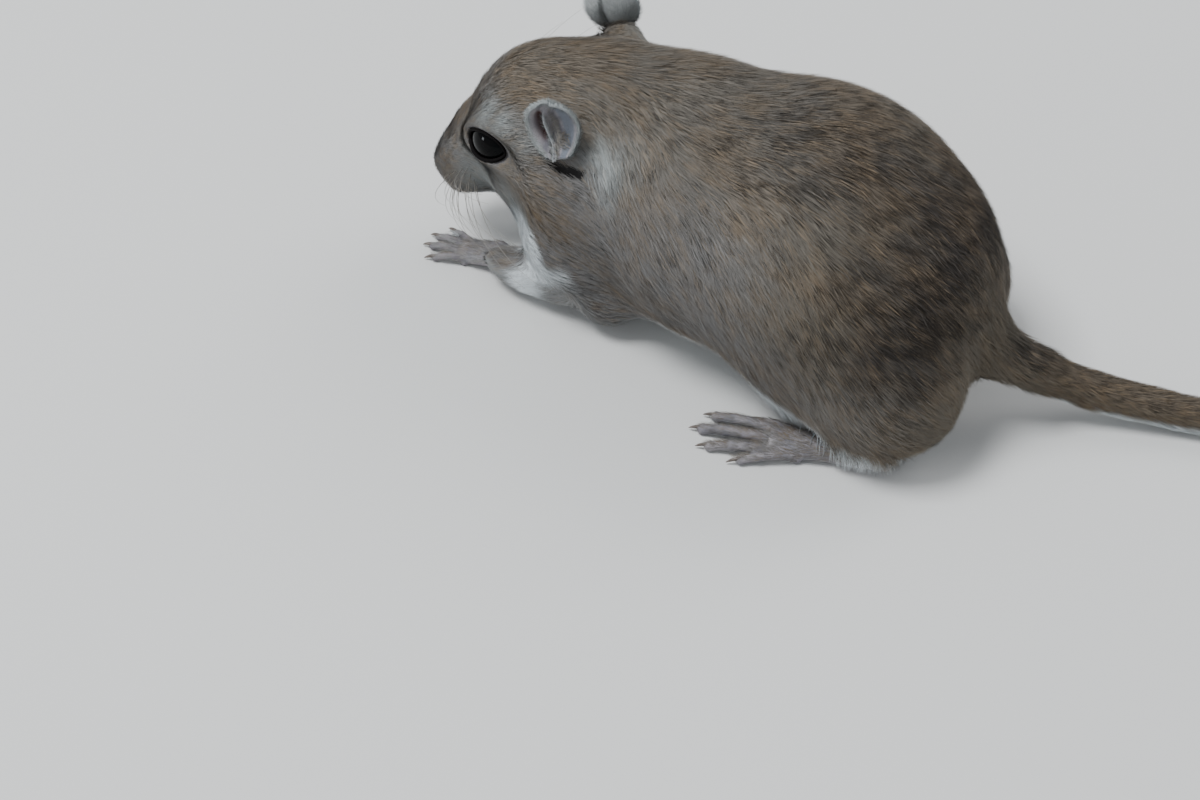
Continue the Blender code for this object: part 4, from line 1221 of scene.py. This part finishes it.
        # The whitish ridge, the brown strip behind it and the dark red slit before it, on the inner face;
        # the slit's darkness is painted shade in the fold, over red skin.
        ridge = np.exp(-(((across + 0.34) / 0.08) ** 2)) * (1.0 - smooth_step(along, 0.6, 0.9))
        strip = np.exp(-(((across + 0.04) / 0.15) ** 2)) * (1.0 - smooth_step(along, 0.7, 0.95))
        slit = np.exp(-(((across + 0.64) / 0.13) ** 2)) * smooth_step(along, 0.15, 0.3)
        slit = slit * (1.0 - smooth_step(along, 0.75, 0.9))
        ridge, strip, slit = (line * ear * inner for line in (ridge, strip, slit))
        on_ears = {
            "pale": np.clip(0.45 - 0.25 * inner + 0.35 * rim + 0.4 * ridge, 0.0, 1.0),
            "grey": 0.6,
            "dusk": 0.5 * strip,
            "warm": 0.35 * strip + 0.3 * (1.0 - inner),
            "belly": 0.25 * (1.0 - inner),
        }
        for name, values in marks.items():
            write(mesh, name, np.where(ear > 0.5, on_ears[name], values))
        head = in_head(points)
        nose = smooth_step(head[:, 0], 23.0, 24.0)
        lid, open_eye = np.zeros(len(points)), np.zeros(len(points))
        for side in (1, -1):
            share = in_opening(head, side)
            lid = np.maximum(lid, smooth_step(share, 0.70, 0.85) * (1.0 - smooth_step(share, 0.93, 1.02)))
            open_eye = np.maximum(open_eye, 1.0 - smooth_step(share, 0.86, 0.95))
        lips = 1.0 - smooth_step(mouth_gap, 0.25, 0.7)
        write(mesh, "bare", np.maximum.reduce([foot, ear * inner, nose, lid, lips, open_eye]))
        # A real red on the nose and lips; in the ear's slit, red skin darkened as painted shade in the
        # fold.
        write(mesh, "flush", np.clip(slit + 0.20 * nose + 0.3 * lips, 0.0, 1.0))
        hollow = smooth_step(across, 0.12, 0.30) * (1.0 - smooth_step(across, 0.70, 0.88))
        write(mesh, "blue", ear * inner * hollow)
        write(mesh, "rim", np.clip(0.35 * rim + 0.65 * ridge, 0.0, 1.0))
        # Near-black: painted shadow in the notch under the ear and in the mouth's crease, and the dark skin
        # of the lids' edges and under the eyes.
        shade_and_dark_skin = (1.0 - smooth_step(notch_gap, 1.0, 1.6)) * (1.0 - ear)
        write(mesh, "shade_and_dark_skin", np.maximum.reduce([shade_and_dark_skin, lid, 0.8 * lips, open_eye]))
        # The coat leaves the lids, lips, nose tip, soles and the hollow of the ears free.
        in_cup = np.clip(0.03 + 0.8 * rim + 0.8 * strip + 0.2 * ridge - slit, 0.0, 1.0)
        on_ear = np.where(inner > 0.5, in_cup, 0.75 + 0.25 * rim)
        sole = smooth_step(normals[:, 2], -0.25, 0.15)
        hairy = (1.0 - nose) * (1.0 - lid) * (1.0 - lips) * (1.0 - open_eye)
        hairy *= smooth_step(notch_gap, 0.8, 1.3)
        hairy = np.where(foot > 0.5, 0.30 * sole, hairy)
        hairy = np.where(ear > 0.5, on_ear, hairy)
        write(mesh, "hairy", hairy)


CORNEA_RISE = 0.012  # the cornea's height as a share of the eye's radius
LID_LIFT = 0.35  # how far the lids' edge stands over the eye
LID_INWARD = 0.40  # how far their dark rim reaches in from that edge
LID_ROUND = (0.24, 0.30)  # the rim's half width and half thickness


class GERBIL_OT_eyes(Operator):
    """Makes both eyes as glossy balls with a low cornea, and the dark rims of their lids"""

    bl_idname = "gerbil.eyes"
    bl_label = "Eyes and lids"

    def execute(self, context):
        tints = context.scene.gerbil_tints
        # A wet cornea over a black pupil and a very dark brown iris: deep black with one sharp highlight.
        gloss, surface = plain_material("wet_cornea", tints.pupil, tints.iris, 3.0, 0.03, 0.20)
        surface.inputs["IOR"].default_value = 1.25
        # Bare pigmented skin, moist at its edge: a thin dark line, nearly dull.
        deep = tuple(0.6 * c for c in tints.lid)
        rim, _ = plain_material("lid_rim_skin", tints.lid, deep, 0.4, 0.75, 0.06, bump=0.05)
        for side, word in ((1, "left"), (-1, "right")):
            _, _, out = eye_axes(side)
            points, faces = ball_mesh((0.0, 0.0, 0.0), (1.0, 1.0, 1.0), 6)
            towards = smooth_step(points @ out, 0.45, 1.0)
            points = points * (EYE_RADIUS * (1.0 + CORNEA_RISE * towards))[:, None]
            points = points + np.array(mirrored(EYE, side))
            eye = link("eye_" + word + "_ball", shape_from("eye", from_head(points), faces))
            eye.data.materials.append(gloss)
            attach(eye, "root")
            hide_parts("eye_" + word)
            count, sides = 96, 8
            line = lid_line(side, EYE_RADIUS + LID_LIFT, count)
            middle = line.mean(axis=0)
            ahead = unit(np.roll(line, -1, axis=0) - np.roll(line, 1, axis=0))
            raised = unit(line - from_head(mirrored(EYE, side)))
            across = unit(np.cross(ahead, raised))
            across *= np.sign(((line - middle) * across).sum(axis=1))[:, None]
            turns = 2.0 * math.pi * np.arange(sides) / sides
            inward = (LID_ROUND[0] * np.cos(turns) - LID_INWARD)[None, :, None]
            rings = line[:, None, :] + across[:, None, :] * inward
            rings = rings + raised[:, None, :] * (LID_ROUND[1] * np.sin(turns))[None, :, None]
            faces = []
            for ring in range(count):
                for k in range(sides):
                    a, b = ring * sides + k, ring * sides + (k + 1) % sides
                    c, d = (ring + 1) % count * sides + k, (ring + 1) % count * sides + (k + 1) % sides
                    faces += [(a, b, d), (a, d, c)]
            lids = link("lids_" + word, turned_out(shape_from("lids", rings.reshape(-1, 3), faces)))
            lids.data.materials.append(rim)
            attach(lids, "root")
        return {"FINISHED"}


class GERBIL_OT_claws(Operator):
    """Sets a curved, tapering claw on every toe"""

    bl_idname = "gerbil.claws"
    bl_label = "Claws"

    def execute(self, context):
        tints = context.scene.gerbil_tints
        # Horn worn by digging: dull, a little translucent brown, with a faint shine.
        dark = tuple(0.45 * c for c in tints.claw)
        horn, _ = plain_material("keratin_claw", tints.claw, dark, 0.8, 0.34)
        parts = []
        for side in (1, -1):
            for place, toes, claw in ((HIND_FOOT, HIND_TOES, HIND_CLAW), (FORE_PAW, FORE_TOES, FORE_CLAW)):
                moved = foot_turn(place, side)
                for start, end, half in toes:
                    way = np.array(end) - np.array(start)
                    way[2] = 0.0
                    way = unit(way)
                    share = np.linspace(-0.25, 1.0, 9)
                    line = np.array(end) + way * (claw * share)[:, None]
                    line[:, 2] += 0.25 + 0.35 * share - 0.95 * share**2
                    size = np.sqrt(np.clip(1.0 - (share + 0.02) / 1.04, 0.02, 1.0))
                    halves = [(0.34 * s, 0.42 * s) for s in size]
                    parts.append((moved(tube_points(line, halves, 8)), tube_faces(len(line), 8)))
        points, faces = gathered(parts)
        points[:, 2] = np.maximum(points[:, 2], 0.03)
        claws = link("claws", turned_out(shape_from("claws", points, faces)))
        claws.data.materials.append(horn)
        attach(claws, "root")
        return {"FINISHED"}


class GERBIL_OT_whiskers(Operator):
    """Sets the whiskers on their pads, swept back and drooping"""

    bl_idname = "gerbil.whiskers"
    bl_label = "Whiskers"

    def execute(self, context):
        tints = context.scene.gerbil_tints
        # Stiff smooth keratin: thin greyish hairs that hardly stand out from the coat.
        hair, _ = plain_material("whisker_keratin", tints.whisker, tints.whisker_pale, 6.0, 0.4)
        chance = np.random.default_rng(3)
        skin = bpy.data.objects["skin"]
        tree = BVHTree.FromPolygons(points_of(skin.data).tolist(), faces_of(skin.data).tolist())
        parts = []
        for side in (1, -1):
            for row in range(4):
                for k in range(5):
                    spot = (19.6 - 1.25 * k + 0.2 * row, 6.0, -1.9 - 1.2 * row)
                    place, normal, _, _ = tree.find_nearest(from_head(mirrored(spot, side)))
                    place = np.array(place) - np.array(normal) * 0.4
                    length = 9.0 + 4.2 * k + chance.uniform(-1.5, 1.5)
                    start = unit(np.array((0.10 - 0.10 * k, 1.0, 0.35 - 0.24 * row)) * (1, side, 1))
                    end = unit(np.array((-1.0, 0.42, 0.10 - 0.20 * row)) * (1, side, 1))
                    share = np.linspace(0.0, 1.0, 10)[:, None]
                    way = unit(start * (1 - share) + end * share + 0.05 * chance.normal(size=3)) @ HEAD.T
                    line = place + np.vstack([np.zeros(3), np.cumsum(way[:-1], axis=0)]) * (length / 9.0)
                    line[:, 2] -= 0.6 * share[:, 0] ** 2
                    line[:, 2] = np.maximum(line[:, 2], 0.4)
                    halves = 0.045 * (1.0 - share[:, 0]) ** 0.8 + 0.010
                    parts.append((tube_points(line, halves, 5), tube_faces(len(line), 5)))
        points, faces = gathered(parts)
        whiskers = link("whiskers", shape_from("whiskers", points, faces))
        whiskers.data.materials.append(hair)
        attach(whiskers, "root")
        return {"FINISHED"}


class GERBIL_OT_coat(Operator):
    """Grows the coat over the skin, as bent tufts below and fine straight ones above"""

    bl_idname = "gerbil.coat"
    bl_label = "Coat"

    def execute(self, context):
        settings = context.scene.gerbil_coat
        material = coat_material(context.scene.gerbil_tints)
        skin = bpy.data.objects["skin"]
        total = 0
        for kind, seed in (("bent", 41), ("straight", 42)):
            data = tuft_data(skin, kind, np.random.default_rng(seed), settings)
            names = coat_zone(data)
            each = 10 if kind == "bent" else 4
            for name in sorted(set(names)):
                rows = np.where(names == name)[0]
                pieces = math.ceil(len(rows) * each / PIECE_FACES)
                for n in range(pieces):
                    title = name + ("_under" if kind == "bent" else "_guard")
                    title += f"_{n + 1}" if pieces > 1 else ""
                    mesh = build_tufts(title, data, kind == "bent", rows[n::pieces])
                    mesh.materials.append(material)
                    piece = link(title, mesh)
                    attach(piece, "root")
                    total += len(mesh.polygons)
        if total > COAT_FACES:
            raise RuntimeError(f"the coat has {total} triangles, over {COAT_FACES}")
        return {"FINISHED"}


CAMERA_BEHIND = 29.0  # the camera stands this far behind square to the animal's left side
CAMERA_HEIGHT = 50.0
CAMERA_AWAY = 305.0
CAMERA_LENS = 60.0
CAMERA_FLOOR = (4.73, 27.37, 0.0)  # the floor point in the picture's middle

ROOM_COLOUR = (0.83, 0.88, 0.94)
ROOM_POWER = 0.70
# Each light's place in metres, its size, its power in watts and its colour.
LIGHTS = {
    "key": ((0.34, 0.22, 0.85), 0.30, 9.4, (0.94, 0.97, 1.0)),
    "window": ((0.52, 0.46, 0.10), 0.10, 0.8, (0.90, 0.95, 1.0)),
    "rear": ((-0.30, -0.60, 0.60), 0.50, 2.8, (0.97, 0.98, 1.0)),
}


class GERBIL_OT_stage(Operator):
    """Makes the floor, the studio light and the camera at the photograph's angle"""

    bl_idname = "gerbil.stage"
    bl_label = "Stage"

    def execute(self, context):
        scene = context.scene
        # Matt painted board: no gloss, so that the floor stays plain.
        grey = scene.gerbil_tints.floor
        floor_paint, _ = plain_material("matt_painted_board", grey, grey, 50.0, 0.9)
        bpy.ops.mesh.primitive_plane_add(size=6.0)
        floor = context.object
        floor.name = "floor"
        floor.data.materials.append(floor_paint)
        turn, tilt = math.radians(CAMERA_BEHIND), math.radians(CAMERA_HEIGHT)
        look = Vector((math.sin(turn) * math.cos(tilt), -math.cos(turn) * math.cos(tilt), -math.sin(tilt)))
        lens = bpy.data.cameras.new("camera")
        lens.lens = CAMERA_LENS
        lens.sensor_width = 36.0
        lens.clip_start = 0.01
        camera = bpy.data.objects.new("camera", lens)
        scene.collection.objects.link(camera)
        camera.location = (Vector(CAMERA_FLOOR) + Vector(SHIFT)) * MM - look * (CAMERA_AWAY * MM)
        camera.rotation_euler = look.to_track_quat("-Z", "Y").to_euler()
        scene.camera = camera
        world = bpy.data.worlds.new("room")
        world.use_nodes = True
        world.node_tree.nodes["Background"].inputs[0].default_value = (*ROOM_COLOUR, 1.0)
        world.node_tree.nodes["Background"].inputs[1].default_value = ROOM_POWER
        scene.world = world
        for name, (place, size, power, colour) in LIGHTS.items():
            light = bpy.data.lights.new(name, "AREA")
            light.size = size
            light.energy = power
            light.color = colour
            lamp = bpy.data.objects.new(name, light)
            scene.collection.objects.link(lamp)
            lamp.location = place
            towards = Vector((0.0, 0.0, 0.02)) - Vector(place)
            lamp.rotation_euler = towards.to_track_quat("-Z", "Y").to_euler()
        return {"FINISHED"}


class GERBIL_PT_panel(Panel):
    """The steps that make the model, and their settings"""

    bl_idname = "GERBIL_PT_panel"
    bl_label = "Gerbil"
    bl_space_type = "VIEW_3D"
    bl_region_type = "UI"
    bl_category = "Gerbil"

    def draw(self, context):
        layout = self.layout
        for step in STEPS:
            layout.operator(step.bl_idname)
        for group in (context.scene.gerbil_skin, context.scene.gerbil_coat, context.scene.gerbil_tints):
            for name in group.__annotations__:
                layout.prop(group, name)


SETTINGS = {
    "gerbil_skin": GerbilSkinSettings,
    "gerbil_coat": GerbilCoatSettings,
    "gerbil_tints": GerbilTints,
}
STEPS = (
    GERBIL_OT_skin,
    GERBIL_OT_eyes,
    GERBIL_OT_claws,
    GERBIL_OT_whiskers,
    GERBIL_OT_coat,
    GERBIL_OT_stage,
)


def register():
    for name, group in SETTINGS.items():
        bpy.utils.register_class(group)
        setattr(bpy.types.Scene, name, PointerProperty(type=group))
    for step in STEPS:
        bpy.utils.register_class(step)
    bpy.utils.register_class(GERBIL_PT_panel)


def unregister():
    bpy.utils.unregister_class(GERBIL_PT_panel)
    for step in reversed(STEPS):
        bpy.utils.unregister_class(step)
    for name, group in SETTINGS.items():
        delattr(bpy.types.Scene, name)
        bpy.utils.unregister_class(group)


def main():
    register()
    bpy.ops.gerbil.skin()
    bpy.ops.gerbil.eyes()
    bpy.ops.gerbil.claws()
    bpy.ops.gerbil.whiskers()
    bpy.ops.gerbil.coat()
    bpy.ops.gerbil.stage()


if __name__ == "__main__":
    main()
